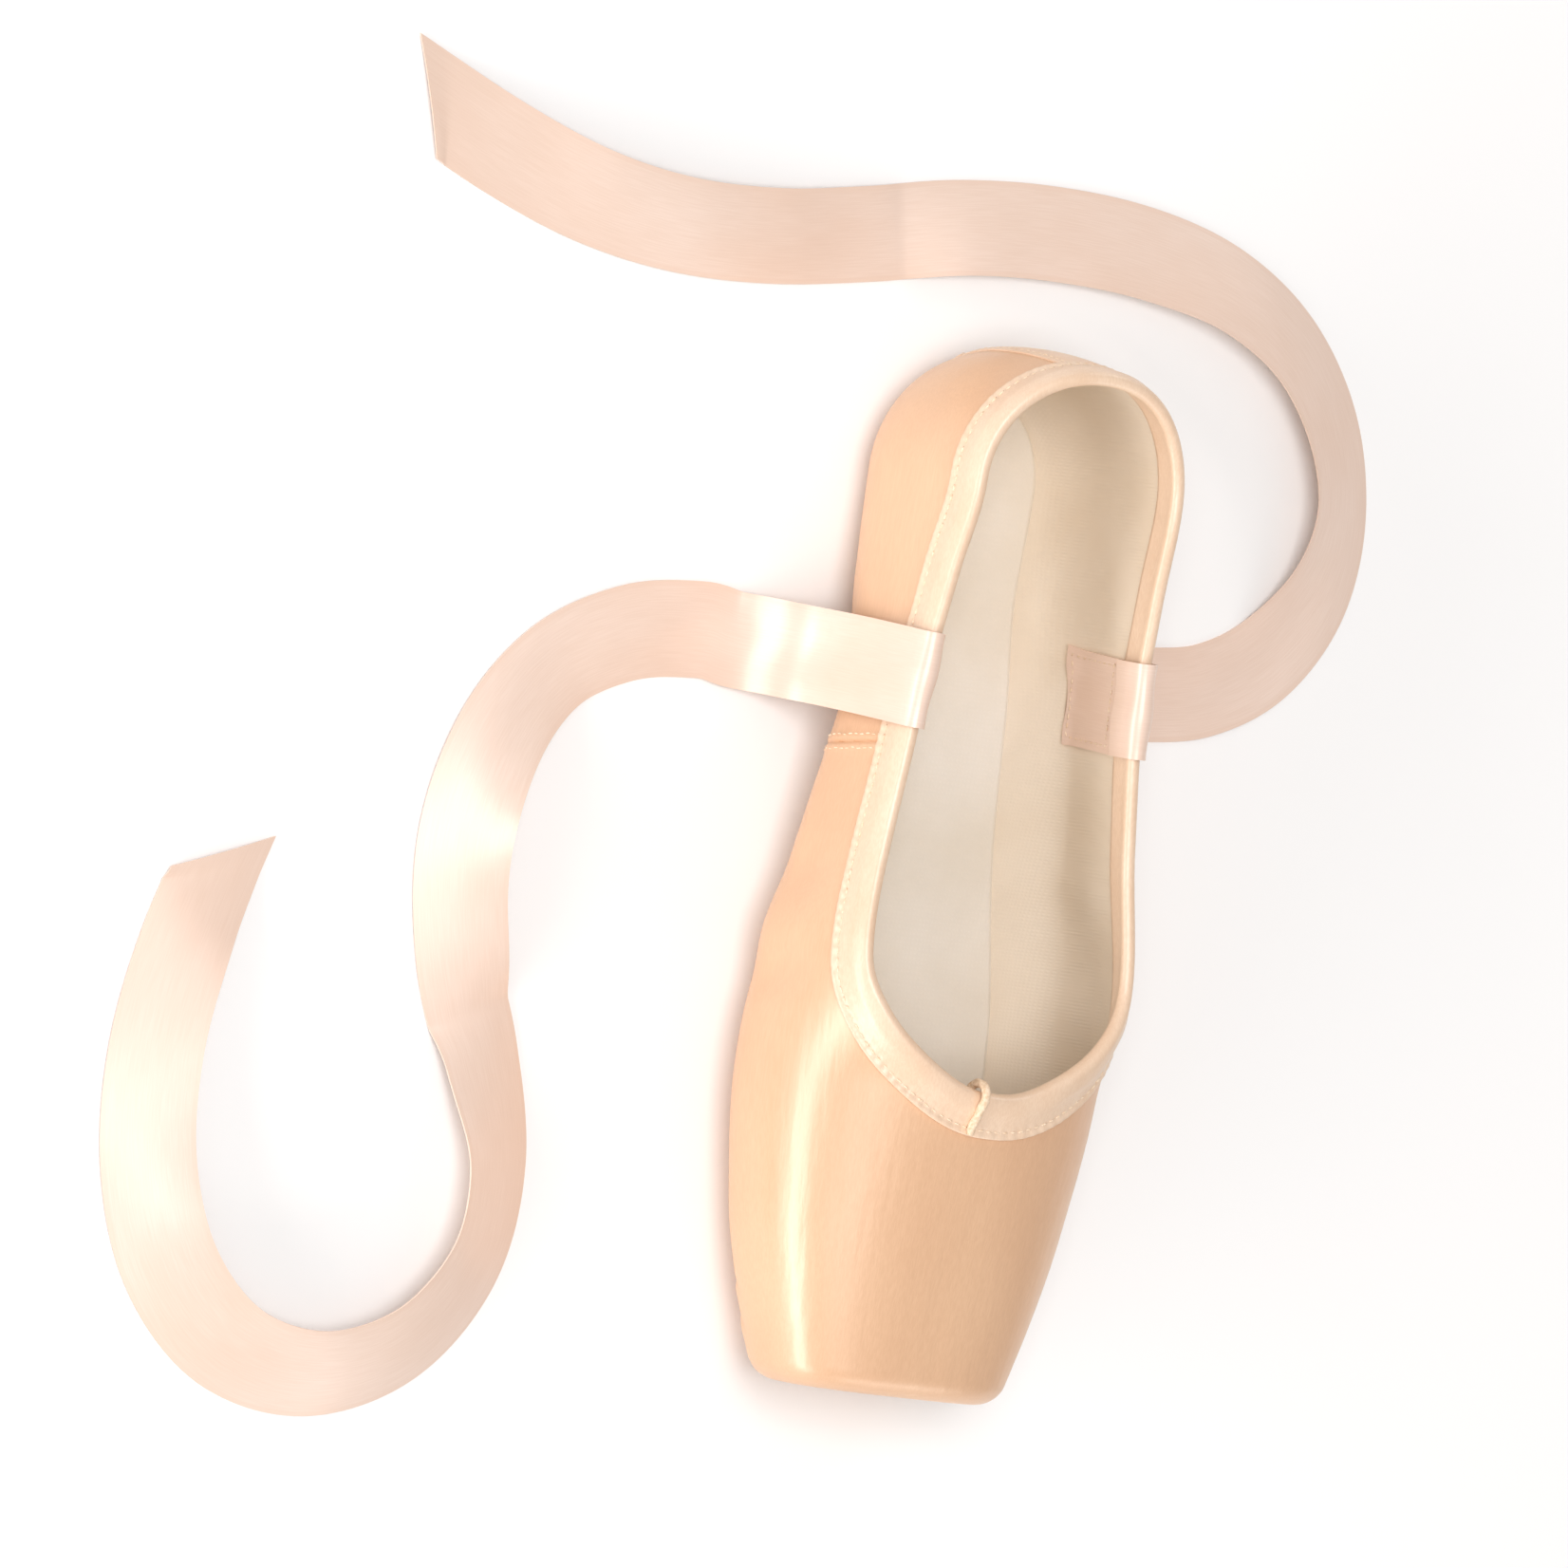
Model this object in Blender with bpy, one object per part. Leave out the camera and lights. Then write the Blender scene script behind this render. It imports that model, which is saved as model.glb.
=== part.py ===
"""Pointe shoe, empty and unbent, standing on its two leather sole patches.

Metres, +Z up. The toe platform faces -Y, the heel +Y, and X runs across. The origin is on the
floor under the middle of the shoe, its heel tape counted. The last is straight, so one half of it
mirrors the other. A distance is measured from the flat toe platform towards the heel.
"""
import math
from collections import namedtuple

import bmesh
import bpy
from mathutils import Vector
from mathutils.bvhtree import BVHTree

# Driving dimensions of the last
SHOE_LENGTH = 0.240
BALL_WIDTH = 0.090
VAMP_HEIGHT = 0.0525          # closed vamp, just in front of the throat
COLLAR_HEIGHT = 0.057         # collar at the back of the heel
HEEL_DEPTH = 0.031            # centre of the round heel to its back
TOE_SPRING = 0.0022
ARCH_RISE = 0.0050
PLATFORM_ROUNDING = 0.0050

# Upper
VAMP_LENGTH = 0.070           # toe platform to the front of the throat
THROAT_LENGTH = 0.030         # over which the throat opens to the full collar
THROAT_POWER = 2.5
TOE_WALL = 0.0035
QUARTER_WALL = 0.0014
STEP_ALONG = 0.0090           # longest facet along the shoe
STEP_THROAT = 0.0040          # longest facet where the throat turns

# Soles and insole
SOLE_THICKNESS = 0.0020
SOLE_MARGIN = 0.0090          # how far a patch laps past the opening that it closes
INSOLE_THICKNESS = 0.0018
INSOLE_TOE_GAP = 0.0060       # toe platform to the front of the insole
INSOLE_TOE_ROUND = 0.0160
INSOLE_REACH_SHARE = 0.25     # how far up the side of the last it goes, from the flat to the widest
INSOLE_LEAN = 1.05            # the wall cut upright where the side has begun to rise
INSOLE_GAP = 0.0005

# Trim
BINDING_OUTSIDE = 0.0090
BINDING_INSIDE = 0.0070
TAPE_THICKNESS = 0.0007
BACK_STRIP_WIDTH = 0.0150
BACK_STRIP_END_T = 1.62       # where it stops on the heel's section, 1 widest and 2 flat
DRAWSTRING_RADIUS = 0.0010
DRAWSTRING_OFFSET = 0.0045    # from the middle of the throat, towards -X
RIBBON_WIDTH = 0.0220
RIBBON_THICKNESS = 0.0005
RIBBON_SEWN_LENGTH = 0.0220
RIBBON_LENGTH = 0.455         # about the free length, in shares of which the floor routes are drawn
RIBBON_FLOOR_GAP = 0.00015
RIBBON_PLACE = 0.162          # distance of the ribbons' middle
GAP = 0.0003                  # between pieces that touch
TRIM_GAP = 0.00035            # under tape that follows a faceted surface
BINDING_GAP = 0.00045         # under the binding, which turns sharply at the throat

# Sections of the last from the toe platform (0) to the centre of the round heel (1). The width is
# in halves of BALL_WIDTH, widest in VAMP_HEIGHT, flat in the section's own half width, spring in
# TOE_SPRING and arch in ARCH_RISE. Ridge and collar are in the height of the top, which passes from
# VAMP_HEIGHT to COLLAR_HEIGHT along the throat. The ridge is where the two sides would meet if the
# last were closed. Top and bottom are the powers of their ellipses.
COLUMNS = ("at", "width", "widest", "ridge", "flat", "spring", "arch", "top", "bottom", "collar")
SECTIONS = (
    (0.000, 0.667, 0.410, 0.752, 0.47, 1.00, 0.00, 2.50, 2.30, 0.934),
    (0.096, 0.811, 0.371, 0.819, 0.55, 0.35, 0.00, 2.45, 2.30, 0.934),
    (0.191, 0.922, 0.343, 0.882, 0.60, 0.00, 0.00, 2.35, 2.25, 0.934),
    (0.335, 1.000, 0.320, 1.000, 0.60, 0.00, 0.00, 2.25, 2.20, 0.934),
    (0.407, 0.989, 0.314, 1.096, 0.59, 0.00, 0.00, 2.20, 2.15, 0.867),
    (0.478, 0.951, 0.314, 1.263, 0.56, 0.00, 0.00, 2.15, 2.10, 0.807),
    (0.622, 0.822, 0.333, 1.544, 0.48, 0.00, 0.55, 2.00, 2.00, 0.765),
    (0.751, 0.733, 0.381, 1.737, 0.46, 0.00, 1.00, 2.00, 2.00, 0.765),
    (0.895, 0.689, 0.410, 1.861, 0.58, 0.00, 0.00, 2.00, 2.30, 0.833),
    (1.000, 0.667, 0.420, 1.930, 0.66, 0.00, 0.00, 2.00, 2.40, 0.904),
)
BACK_COLUMNS = ("widest", "ridge", "collar")
BACK_SHARES = (0.495, 1.561, 1.000)     # at the very back of the heel, where these differ

# Leather patches. Start and length are shares of SHOE_LENGTH, half width of half BALL_WIDTH.
# A lean under 1 moves the widest place forward, a lower fullness makes the ends rounder.
PATCH_COLUMNS = ("start", "length", "half", "lean", "fullness")
PATCHES = {
    "outsole_forefoot": (0.100, 0.392, 0.689, 0.716, 0.50),
    "outsole_heel": (0.783, 0.192, 0.422, 0.920, 0.50),
}

# Facets round half a section: collar to widest, widest to flat, flat to keel
FACETS = (7, 5, 1)
ROUNDING_STEPS = 4
HEEL_STEPS = 8
NEAR_OFFSETS = (0.0005, 0.0020, 0.0045, 0.0080)
OUTER_LEG_SHARES = (1.0, 0.67, 0.33)
INNER_LEG_SHARES = (0.5, 1.0)
PATCH_HALF_FACETS = 5
PLATE_END_ROWS = 4
PLATE_STEP = 0.0080
PATCH_ROUND_END_SHARE = 0.25

# Routes of the free ribbons. Over the collar a row is how far out and along from the collar's point,
# in RIBBON_WIDTH, and how far up, from 0 on the floor to 1 at the collar. On the floor it is across
# and along from the collar's point, in RIBBON_LENGTH.
RIBBON_OVER_COLLAR = (
    (-0.119, 0.015, 0.843), (-0.147, 0.010, 0.924), (-0.151, 0.006, 1.000), (-0.110, 0.001, 1.055),
    (-0.024, 0.006, 1.076), (0.071, 0.010, 1.055), (0.121, 0.019, 1.000), (0.144, 0.033, 0.912),
    (0.162, 0.051, 0.774), (0.185, 0.074, 0.590), (0.249, 0.097, 0.383), (0.417, 0.119, 0.198),
    (0.694, 0.142, 0.076), (1.040, 0.160, 0.016), (1.449, 0.206, 0.000),
)
RIBBON_ON_FLOOR = {
    "ribbon_right": (
        (0.1074, 0.0165), (0.1426, 0.0363), (0.1668, 0.0715), (0.1733, 0.1154), (0.1602, 0.1594),
        (0.1294, 0.1968), (0.0854, 0.2209), (0.0327, 0.2319), (-0.0245, 0.2341), (-0.0816, 0.2297),
        (-0.1387, 0.2187), (-0.1959, 0.2099), (-0.2530, 0.2077), (-0.3080, 0.2143),
        (-0.3607, 0.2297), (-0.4113, 0.2495),
    ),
    "ribbon_left": (
        (-0.1118, 0.0034), (-0.1536, -0.0186), (-0.1843, -0.0582), (-0.1975, -0.1087),
        (-0.1887, -0.1637), (-0.1668, -0.2142), (-0.1514, -0.2670), (-0.1580, -0.3175),
        (-0.1909, -0.3593), (-0.2415, -0.3791), (-0.2942, -0.3703), (-0.3338, -0.3351),
        (-0.3536, -0.2868), (-0.3580, -0.2340), (-0.3492, -0.1813), (-0.3316, -0.1307),
    ),
}
RIBBON_POINTS_PER_STEP = 2
RIBBON_TURN_SHARES = (0.11, 0.57)     # of the collar's height, between which a ribbon turns level

# Route of the drawstring's end: shares of the binding's two legs, then places round its fold, out
# from the wall's middle and up from the rim in the cord's own clearance
DRAWSTRING_INSIDE_SHARES = (0.8, 0.3)
DRAWSTRING_OUTSIDE_SHARES = (0.25, 0.6, 0.95)
DRAWSTRING_FOLD_SHARES = (0.8, 0.7, 1.25)

# Finishes: sRGB colour, roughness, metallic
FINISHES = {
    "satin": ("E8BE96", 0.38, 0.0),
    "satin_tape": ("E8CDB6", 0.45, 0.0),
    "satin_ribbon": ("F0D6C4", 0.35, 0.0),
    "leather": ("CD9670", 0.65, 0.0),
    "sock_lining": ("E6DCCF", 0.85, 0.0),
    "cord": ("EBD0B4", 0.70, 0.0),
}

FRONT = -(SHOE_LENGTH + TRIM_GAP + TAPE_THICKNESS) / 2     # where the toe platform is on Y

Section = namedtuple(
    "Section", "distance turn half flat widest keel ridge top bottom first edge stretch")


def remove_scene_objects():
    """Clear the objects that a new file starts with."""
    for item in list(bpy.data.objects):
        bpy.data.objects.remove(item, do_unlink=True)


def make_material(name):
    """Plain material of a named finish."""
    colour, roughness, metallic = FINISHES[name]
    channels = [int(colour[i:i + 2], 16) / 255 for i in (0, 2, 4)]
    linear = [c / 12.92 if c <= 0.04045 else ((c + 0.055) / 1.055) ** 2.4 for c in channels]
    material = bpy.data.materials.new(name)
    material.use_nodes = True
    shader = material.node_tree.nodes["Principled BSDF"]
    shader.inputs["Base Color"].default_value = (*linear, 1.0)
    shader.inputs["Roughness"].default_value = roughness
    shader.inputs["Metallic"].default_value = metallic
    material.diffuse_color = (*linear, 1.0)
    return material


def finish_mesh(name, mesh_edit, finish, materials):
    """Turn a bmesh into a smooth-shaded object with its material."""
    if mesh_edit.calc_volume(signed=True) < 0:
        bmesh.ops.reverse_faces(mesh_edit, faces=mesh_edit.faces)
    mesh = bpy.data.meshes.new(name)
    mesh_edit.to_mesh(mesh)
    mesh_edit.free()
    mesh.shade_smooth()
    mesh.set_sharp_from_angle(angle=math.radians(40))
    item = bpy.data.objects.new(name, mesh)
    item.data.materials.append(materials[finish])
    bpy.context.collection.objects.link(item)
    return item


def loft(name, rings, finish, materials, closed=False):
    """Solid through rings of equally many points, capped at both ends or closed into a loop."""
    shape = bmesh.new()
    rows = [[shape.verts.new(point) for point in ring] for ring in rings]
    spans = list(zip(rows, rows[1:]))
    if closed:
        spans.append((rows[-1], rows[0]))
    count = len(rows[0])
    for near, far in spans:
        for i in range(count):
            j = (i + 1) % count
            shape.faces.new((near[i], near[j], far[j], far[i]))
    if not closed:
        shape.faces.new(rows[0][::-1])
        shape.faces.new(rows[-1])
    bmesh.ops.remove_doubles(shape, verts=shape.verts, dist=GAP / 30)
    bmesh.ops.dissolve_degenerate(shape, edges=shape.edges, dist=GAP / 30)
    bmesh.ops.recalc_face_normals(shape, faces=shape.faces)
    return finish_mesh(name, shape, finish, materials)


def heel_centre():
    """Distance of the centre of the round heel."""
    return SHOE_LENGTH - HEEL_DEPTH


def lerp(first, second, share):
    """Straight blend of two values."""
    return first + (second - first) * share


def ease(value, low, high):
    """Smooth step from 0 at low to 1 at high."""
    share = min(1.0, max(0.0, (value - low) / (high - low)))
    return share * share * (3 - 2 * share)


def column(name, position):
    """Value of a column of SECTIONS, through a cubic that never overshoots and ends level."""
    places = [row[0] for row in SECTIONS]
    values = [row[COLUMNS.index(name)] for row in SECTIONS]
    last = len(places) - 1
    position = min(places[-1], max(places[0], position))
    row = max(i for i in range(last) if places[i] <= position)
    slopes = [(values[i + 1] - values[i]) / (places[i + 1] - places[i]) for i in range(last)]

    def tangent(i):
        if i == 0:
            return slopes[0]
        if i == last or slopes[i - 1] * slopes[i] <= 0:
            return 0.0
        return 2 / (1 / slopes[i - 1] + 1 / slopes[i])

    step = places[row + 1] - places[row]
    t = (position - places[row]) / step
    return (values[row] * (1 + 2 * t) * (1 - t) ** 2
            + values[row + 1] * t * t * (3 - 2 * t)
            + tangent(row) * step * t * (1 - t) ** 2
            - tangent(row + 1) * step * t * t * (1 - t))


def patch_value(patch, name):
    """Value of a column of PATCHES in metres, or as it is where it has no length."""
    value = PATCHES[patch][PATCH_COLUMNS.index(name)]
    return value * {"start": SHOE_LENGTH, "length": SHOE_LENGTH, "half": BALL_WIDTH / 2}.get(name, 1.0)


def patch_half_width(patch, distance, margin=0.0):
    """Half width of a patch, drawn in by a margin, at a distance."""
    start = patch_value(patch, "start") + margin
    length = patch_value(patch, "length") - 2 * margin
    share = (distance - start) / length
    if share <= 0.0 or share >= 1.0:
        return 0.0
    swell = math.sin(math.pi * share ** patch_value(patch, "lean")) ** patch_value(patch, "fullness")
    return (patch_value(patch, "half") - margin) * swell


def opening_edge(distance, turn):
    """How far the opening under a patch reaches from the keel, 0 where the bottom is closed."""
    side = patch_value("outsole_heel", "half") - SOLE_MARGIN
    start = patch_value("outsole_heel", "start") + SOLE_MARGIN
    end = start + patch_value("outsole_heel", "length") - 2 * SOLE_MARGIN
    if turn > 0.0:
        across = math.cos(turn) / side
        along = heel_stretch() * math.sin(turn) / (end - heel_centre())
        return 1 / math.hypot(across, along)
    if distance > start:
        return side * math.sqrt(1 - ((heel_centre() - distance) / (heel_centre() - start)) ** 2)
    return patch_half_width("outsole_forefoot", distance, SOLE_MARGIN)


def heel_stretch():
    """Depth of the round heel over its half width."""
    return HEEL_DEPTH / (SECTIONS[-1][COLUMNS.index("width")] * BALL_WIDTH / 2)


def edge_inset(distance):
    """How much the rounding of the platform's edge draws a section in."""
    if distance >= PLATFORM_ROUNDING:
        return 0.0
    return PLATFORM_ROUNDING - math.sqrt(PLATFORM_ROUNDING ** 2 - (PLATFORM_ROUNDING - distance) ** 2)


def wall_at(distance):
    """Thickness of the upper, from the stiff toe box to the soft quarters."""
    return lerp(TOE_WALL, QUARTER_WALL, ease(distance, 0.1 * SHOE_LENGTH, 0.45 * SHOE_LENGTH))


def collar_angle(widest, ridge, power, height, distance):
    """Where the top ellipse of a section ends: at the ridge, the throat or the collar."""
    if distance <= VAMP_LENGTH:
        return math.pi / 2
    level = (height - widest) / (ridge - widest)
    share = (1 - level ** power) ** (1 / power)
    opened = min(1.0, (distance - VAMP_LENGTH) / THROAT_LENGTH)
    share *= (1 - (1 - opened) ** THROAT_POWER) ** (1 / THROAT_POWER)
    return math.acos(share ** (power / 2))


def section_at(distance, turn=0.0):
    """Half section of the last at a distance, or turned about the heel's centre."""
    body = {name: column(name, distance / heel_centre()) for name in COLUMNS[1:]}
    for name, share in zip(BACK_COLUMNS, BACK_SHARES):
        body[name] = lerp(body[name], share, math.sin(turn) ** 2)
    inset = edge_inset(distance)
    opened = ease(distance, VAMP_LENGTH, VAMP_LENGTH + THROAT_LENGTH)
    top_height = lerp(VAMP_HEIGHT, COLLAR_HEIGHT, opened)
    half = body["width"] * BALL_WIDTH / 2 - inset
    widest = body["widest"] * VAMP_HEIGHT
    ridge = body["ridge"] * top_height - inset
    keel = SOLE_THICKNESS + GAP + body["spring"] * TOE_SPRING + body["arch"] * ARCH_RISE + inset
    first = collar_angle(widest, ridge, body["top"], body["collar"] * top_height, distance)
    return Section(distance, turn, half, body["flat"] * half, widest, keel, ridge, body["top"],
                   body["bottom"], first, opening_edge(distance, turn), heel_stretch())


def section_point(section, t, side=1):
    """Outer point: t is 0 at the collar, 1 at the widest, 2 at the flat's corner, 3 at its inner edge."""
    if t <= 1:
        angle = section.first * (1 - t)
        out = section.half * max(0.0, math.cos(angle)) ** (2 / section.top)
        height = section.widest + (section.ridge - section.widest) * math.sin(angle) ** (2 / section.top)
    elif t <= 2:
        angle = (t - 1) * math.pi / 2
        reach = max(0.0, math.cos(angle)) ** (2 / section.bottom)
        out = section.flat + (section.half - section.flat) * reach
        height = section.widest - (section.widest - section.keel) * math.sin(angle) ** (2 / section.bottom)
    else:
        out = lerp(section.flat, section.edge, t - 2)
        height = section.keel
    along = FRONT + section.distance + out * section.stretch * math.sin(section.turn)
    return Vector((side * out * math.cos(section.turn), along, height))


def bottom_height(across, distance):
    """Height of the last's underside at a place, flat in the middle and rising to the sides."""
    turn, out = 0.0, abs(across)
    if distance > heel_centre():
        behind = (distance - heel_centre()) / heel_stretch()
        turn, out = math.atan2(behind, abs(across)), math.hypot(across, behind)
        distance = heel_centre()
    section = section_at(distance, turn)
    share = min(1.0, max(0.0, (out - section.flat) / (section.half - section.flat)))
    rise = 1 - (1 - share ** section.bottom) ** (1 / section.bottom)
    return section.keel + (section.widest - section.keel) * rise


def station_distances():
    """Distances of the sections up to the heel's centre, closer where an outline turns."""
    forefoot_start = patch_value("outsole_forefoot", "start") + SOLE_MARGIN
    forefoot_end = forefoot_start + patch_value("outsole_forefoot", "length") - 2 * SOLE_MARGIN
    heel_start = patch_value("outsole_heel", "start") + SOLE_MARGIN
    anchors = [PLATFORM_ROUNDING, forefoot_start, VAMP_LENGTH, VAMP_LENGTH + THROAT_LENGTH,
               forefoot_end, heel_start, heel_centre()]
    near = [(forefoot_start, 1), (VAMP_LENGTH, 1), (forefoot_end, -1), (heel_start, 1)]
    wanted = sorted(anchors + [place + way * offset for place, way in near for offset in NEAR_OFFSETS])
    kept = [PLATFORM_ROUNDING]
    for place in wanted:
        if place <= kept[-1] or place > heel_centre():
            continue
        if place - kept[-1] < NEAR_OFFSETS[0] * 0.9:
            if place in anchors:
                kept[-1] = place
            continue
        start = kept[-1]
        turning = VAMP_LENGTH < place <= VAMP_LENGTH + THROAT_LENGTH
        steps = math.ceil((place - start) / (STEP_THROAT if turning else STEP_ALONG))
        kept.extend(lerp(start, place, (i + 1) / steps) for i in range(steps))
    turns = [i * math.pi / 2 / ROUNDING_STEPS for i in range(ROUNDING_STEPS)]
    rounding = [PLATFORM_ROUNDING * (1 - math.cos(turn)) for turn in turns]
    return rounding + kept


def upper_sections():
    """All half sections of the upper, from the toe platform to the back of the heel."""
    sections = [section_at(distance) for distance in station_distances()]
    turns = [(i + 1) * math.pi / 2 / HEEL_STEPS for i in range(HEEL_STEPS)]
    return sections + [section_at(heel_centre(), turn) for turn in turns]


def facet_places():
    """Values of t of the points of a half section."""
    return [part + i / count for part, count in enumerate(FACETS) for i in range(count)] + [3.0]


def outer_shell():
    """Outer skin of the upper, its rim and the wall at each vertex, as a bmesh still open."""
    shape = bmesh.new()
    found, walls, rim = {}, {}, {1: [], -1: []}

    def vertex(section, t, side):
        point = section_point(section, t, side)
        if abs(point.x) < GAP / 100:
            point.x = 0.0
        key = tuple(round(value / (GAP / 100)) for value in point)
        if key not in found:
            found[key] = shape.verts.new(point)
            walls[found[key]] = wall_at(section.distance)
        return found[key]

    sections, places = upper_sections(), facet_places()
    platform = []
    for side in (1, -1):
        grid = [[vertex(section, t, side) for t in places] for section in sections]
        rim[side] = [row[0] for row, section in zip(grid, sections) if section.distance >= VAMP_LENGTH]
        platform.append(grid[0])
        for near, far in zip(grid, grid[1:]):
            for j in range(len(places) - 1):
                corners = (near[j], near[j + 1], far[j + 1], far[j])[::side]
                distinct = list(dict.fromkeys(corners))
                if len(distinct) > 2:
                    shape.faces.new(distinct)
    ring = platform[0][::-1] + platform[1]
    shape.faces.new(list(dict.fromkeys(ring)))
    shape.normal_update()
    collar = rim[1] + rim[-1][-2:0:-1]
    return shape, walls, collar


def make_upper(materials):
    """Hollow upper, with what the trim needs: its rim with normals and its two skins."""
    shape, walls, collar = outer_shell()
    outer = list(shape.verts)
    outer_faces = list(shape.faces)
    shape.verts.index_update()
    numbers = [[vert.index for vert in face.verts] for face in outer_faces]
    outside = BVHTree.FromPolygons([vert.co.copy() for vert in outer], numbers)
    inside_points = [vert.co - vert.normal * walls[vert] for vert in outer]
    inside = BVHTree.FromPolygons(inside_points, numbers)
    rim = [(vert.co.copy(), vert.normal.copy(), walls[vert]) for vert in collar]

    open_edges = [edge for edge in shape.edges if len(edge.link_faces) == 1]
    inner = [shape.verts.new(point) for point in inside_points]
    for face in numbers:
        shape.faces.new([inner[i] for i in reversed(face)])
    for edge in open_edges:
        first, second = edge.link_loops[0].vert, edge.link_loops[0].link_loop_next.vert
        shape.faces.new((second, first, inner[first.index], inner[second.index]))
    shape.normal_update()
    finish_mesh("upper", shape, "satin", materials)
    return rim, outside, inside


def laid_on(tree, point, lift):
    """The point of a skin nearest to a point, lifted along the skin's normal."""
    place, normal, _, _ = tree.find_nearest(point)
    return place + normal * lift


def rim_frames(rim):
    """At each point of the rim: the point, its outward normal, the way into the wall and the wall."""
    frames = []
    for i, (point, normal, wall) in enumerate(rim):
        along = (rim[(i + 1) % len(rim)][0] - rim[i - 1][0]).normalized()
        frames.append((point, normal, along.cross(normal).normalized(), wall))
    return frames


def make_binding(frames, outside, inside, materials):
    """Tape folded over the rim all round the throat and collar."""
    cover = BINDING_GAP + TAPE_THICKNESS
    rings = []
    for point, normal, into, wall in frames:
        inner = point - normal * wall
        down = [point + into * BINDING_OUTSIDE * share for share in OUTER_LEG_SHARES]
        outer_leg = [laid_on(outside, place, BINDING_GAP) for place in down]
        outer_face = [laid_on(outside, place, cover) for place in down]
        down = [inner + into * BINDING_INSIDE * share for share in INNER_LEG_SHARES]
        inner_leg = [laid_on(inside, place, -BINDING_GAP) for place in down]
        inner_face = [laid_on(inside, place, -cover) for place in down]
        fold = [point + normal * cover, point + normal * BINDING_GAP - into * cover,
                inner - normal * BINDING_GAP - into * cover, inner - normal * cover]
        lining = [inner - (normal + into) * BINDING_GAP, point + (normal - into) * BINDING_GAP]
        rings.append(outer_face + fold + inner_face + inner_leg[::-1] + lining + outer_leg[::-1])
    loft("binding", rings, "satin_tape", materials, closed=True)


def plate_distances(start, end, round_end):
    """Rows of a plate, closer together towards its two round ends."""
    ends = [round_end * (1 - math.cos(i * math.pi / 2 / PLATE_END_ROWS)) for i in range(PLATE_END_ROWS)]
    steps = math.ceil((end - start - 2 * round_end) / PLATE_STEP)
    middle = [lerp(start + round_end, end - round_end, i / steps) for i in range(steps + 1)]
    return [start + reach for reach in ends] + middle + [end - reach for reach in reversed(ends)]


def make_plate(name, half_width, start, end, round_end, below, thickness, finish, materials):
    """Plate under or in the last: it follows the last's underside, lifted by a given height."""
    rings = []
    shares = [i / PATCH_HALF_FACETS - 1 for i in range(2 * PATCH_HALF_FACETS + 1)]
    for distance in plate_distances(start, end, round_end):
        top, bottom = [], []
        for share in shares:
            across = share * half_width(distance)
            height = bottom_height(across, distance) + below(distance)
            along = FRONT + distance
            bottom.append(Vector((across, along, height)))
            top.append(Vector((across, along, height + thickness)))
        rings.append(top + bottom[::-1])
    loft(name, rings, finish, materials)


def make_patches(materials):
    """The two leather patches that the shoe stands on."""
    for patch in PATCHES:
        start, length = patch_value(patch, "start"), patch_value(patch, "length")
        make_plate(patch, lambda distance, patch=patch: patch_half_width(patch, distance), start,
                   start + length, length * PATCH_ROUND_END_SHARE, lambda distance: -GAP - SOLE_THICKNESS,
                   SOLE_THICKNESS, "leather", materials)


def insole_half_width(distance):
    """Half width of the insole: the flat of the last and a third of the way up its side."""
    section = section_at(min(distance, heel_centre()))
    reach = lerp(section.flat, section.half, INSOLE_REACH_SHARE) - wall_at(distance)
    if distance > heel_centre():
        behind = (distance - heel_centre()) / heel_stretch()
        return math.sqrt(max(0.0, reach ** 2 - behind ** 2))
    front = min(1.0, (distance - INSOLE_TOE_GAP) / INSOLE_TOE_ROUND)
    return reach * math.sqrt(max(0.0, 1 - (1 - front) ** 2)) if front < 1 else reach


def make_insole(materials):
    """Insole board with its sock lining, on the inside of the upper."""
    section = section_at(heel_centre())
    reach = lerp(section.flat, section.half, INSOLE_REACH_SHARE) - QUARTER_WALL
    make_plate("insole", insole_half_width, INSOLE_TOE_GAP, heel_centre() + reach * heel_stretch(),
               INSOLE_TOE_ROUND, lambda distance: wall_at(distance) * INSOLE_LEAN + INSOLE_GAP,
               INSOLE_THICKNESS, "sock_lining", materials)


def make_back_strip(outside, materials):
    """Tape over the heel seam, from under the binding to the heel patch."""
    back = section_at(heel_centre(), math.pi / 2)
    columns = 4
    first = (BINDING_OUTSIDE + 2 * GAP) / (COLLAR_HEIGHT - back.widest)
    rows = [first] + [t for t in facet_places() if first < t < BACK_STRIP_END_T] + [BACK_STRIP_END_T]
    rings = []
    for t in rows:
        depth = section_point(back, t).y - (FRONT + heel_centre())
        under, over = [], []
        for i in range(columns + 1):
            across = lerp(-BACK_STRIP_WIDTH / 2, BACK_STRIP_WIDTH / 2, i / columns)
            turn = math.acos(min(1.0, abs(across) * heel_stretch() / depth))
            point = section_point(section_at(heel_centre(), turn), t, 1 if across >= 0 else -1)
            under.append(laid_on(outside, point, TRIM_GAP))
            over.append(laid_on(outside, point, TRIM_GAP + TAPE_THICKNESS))
        rings.append(over + under[::-1])
    loft("back_strip", rings, "satin_tape", materials)


def smooth_route(points, steps):
    """Points along a smooth curve through the given ones."""
    ends = [points[0] * 2 - points[1]] + points + [points[-1] * 2 - points[-2]]
    route = []
    for a, b, c, d in zip(ends, ends[1:], ends[2:], ends[3:]):
        for i in range(steps):
            t = i / steps
            route.append(0.5 * (2 * b + (c - a) * t + (2 * a - 5 * b + 4 * c - d) * t ** 2
                                + (3 * b - a - 3 * c + d) * t ** 3))
    return route + [points[-1]]


def route_directions(route):
    """Unit direction at each point of a route."""
    ends = [route[0]] + route + [route[-1]]
    return [(after - before).normalized() for before, after in zip(ends, ends[2:])]


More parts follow.
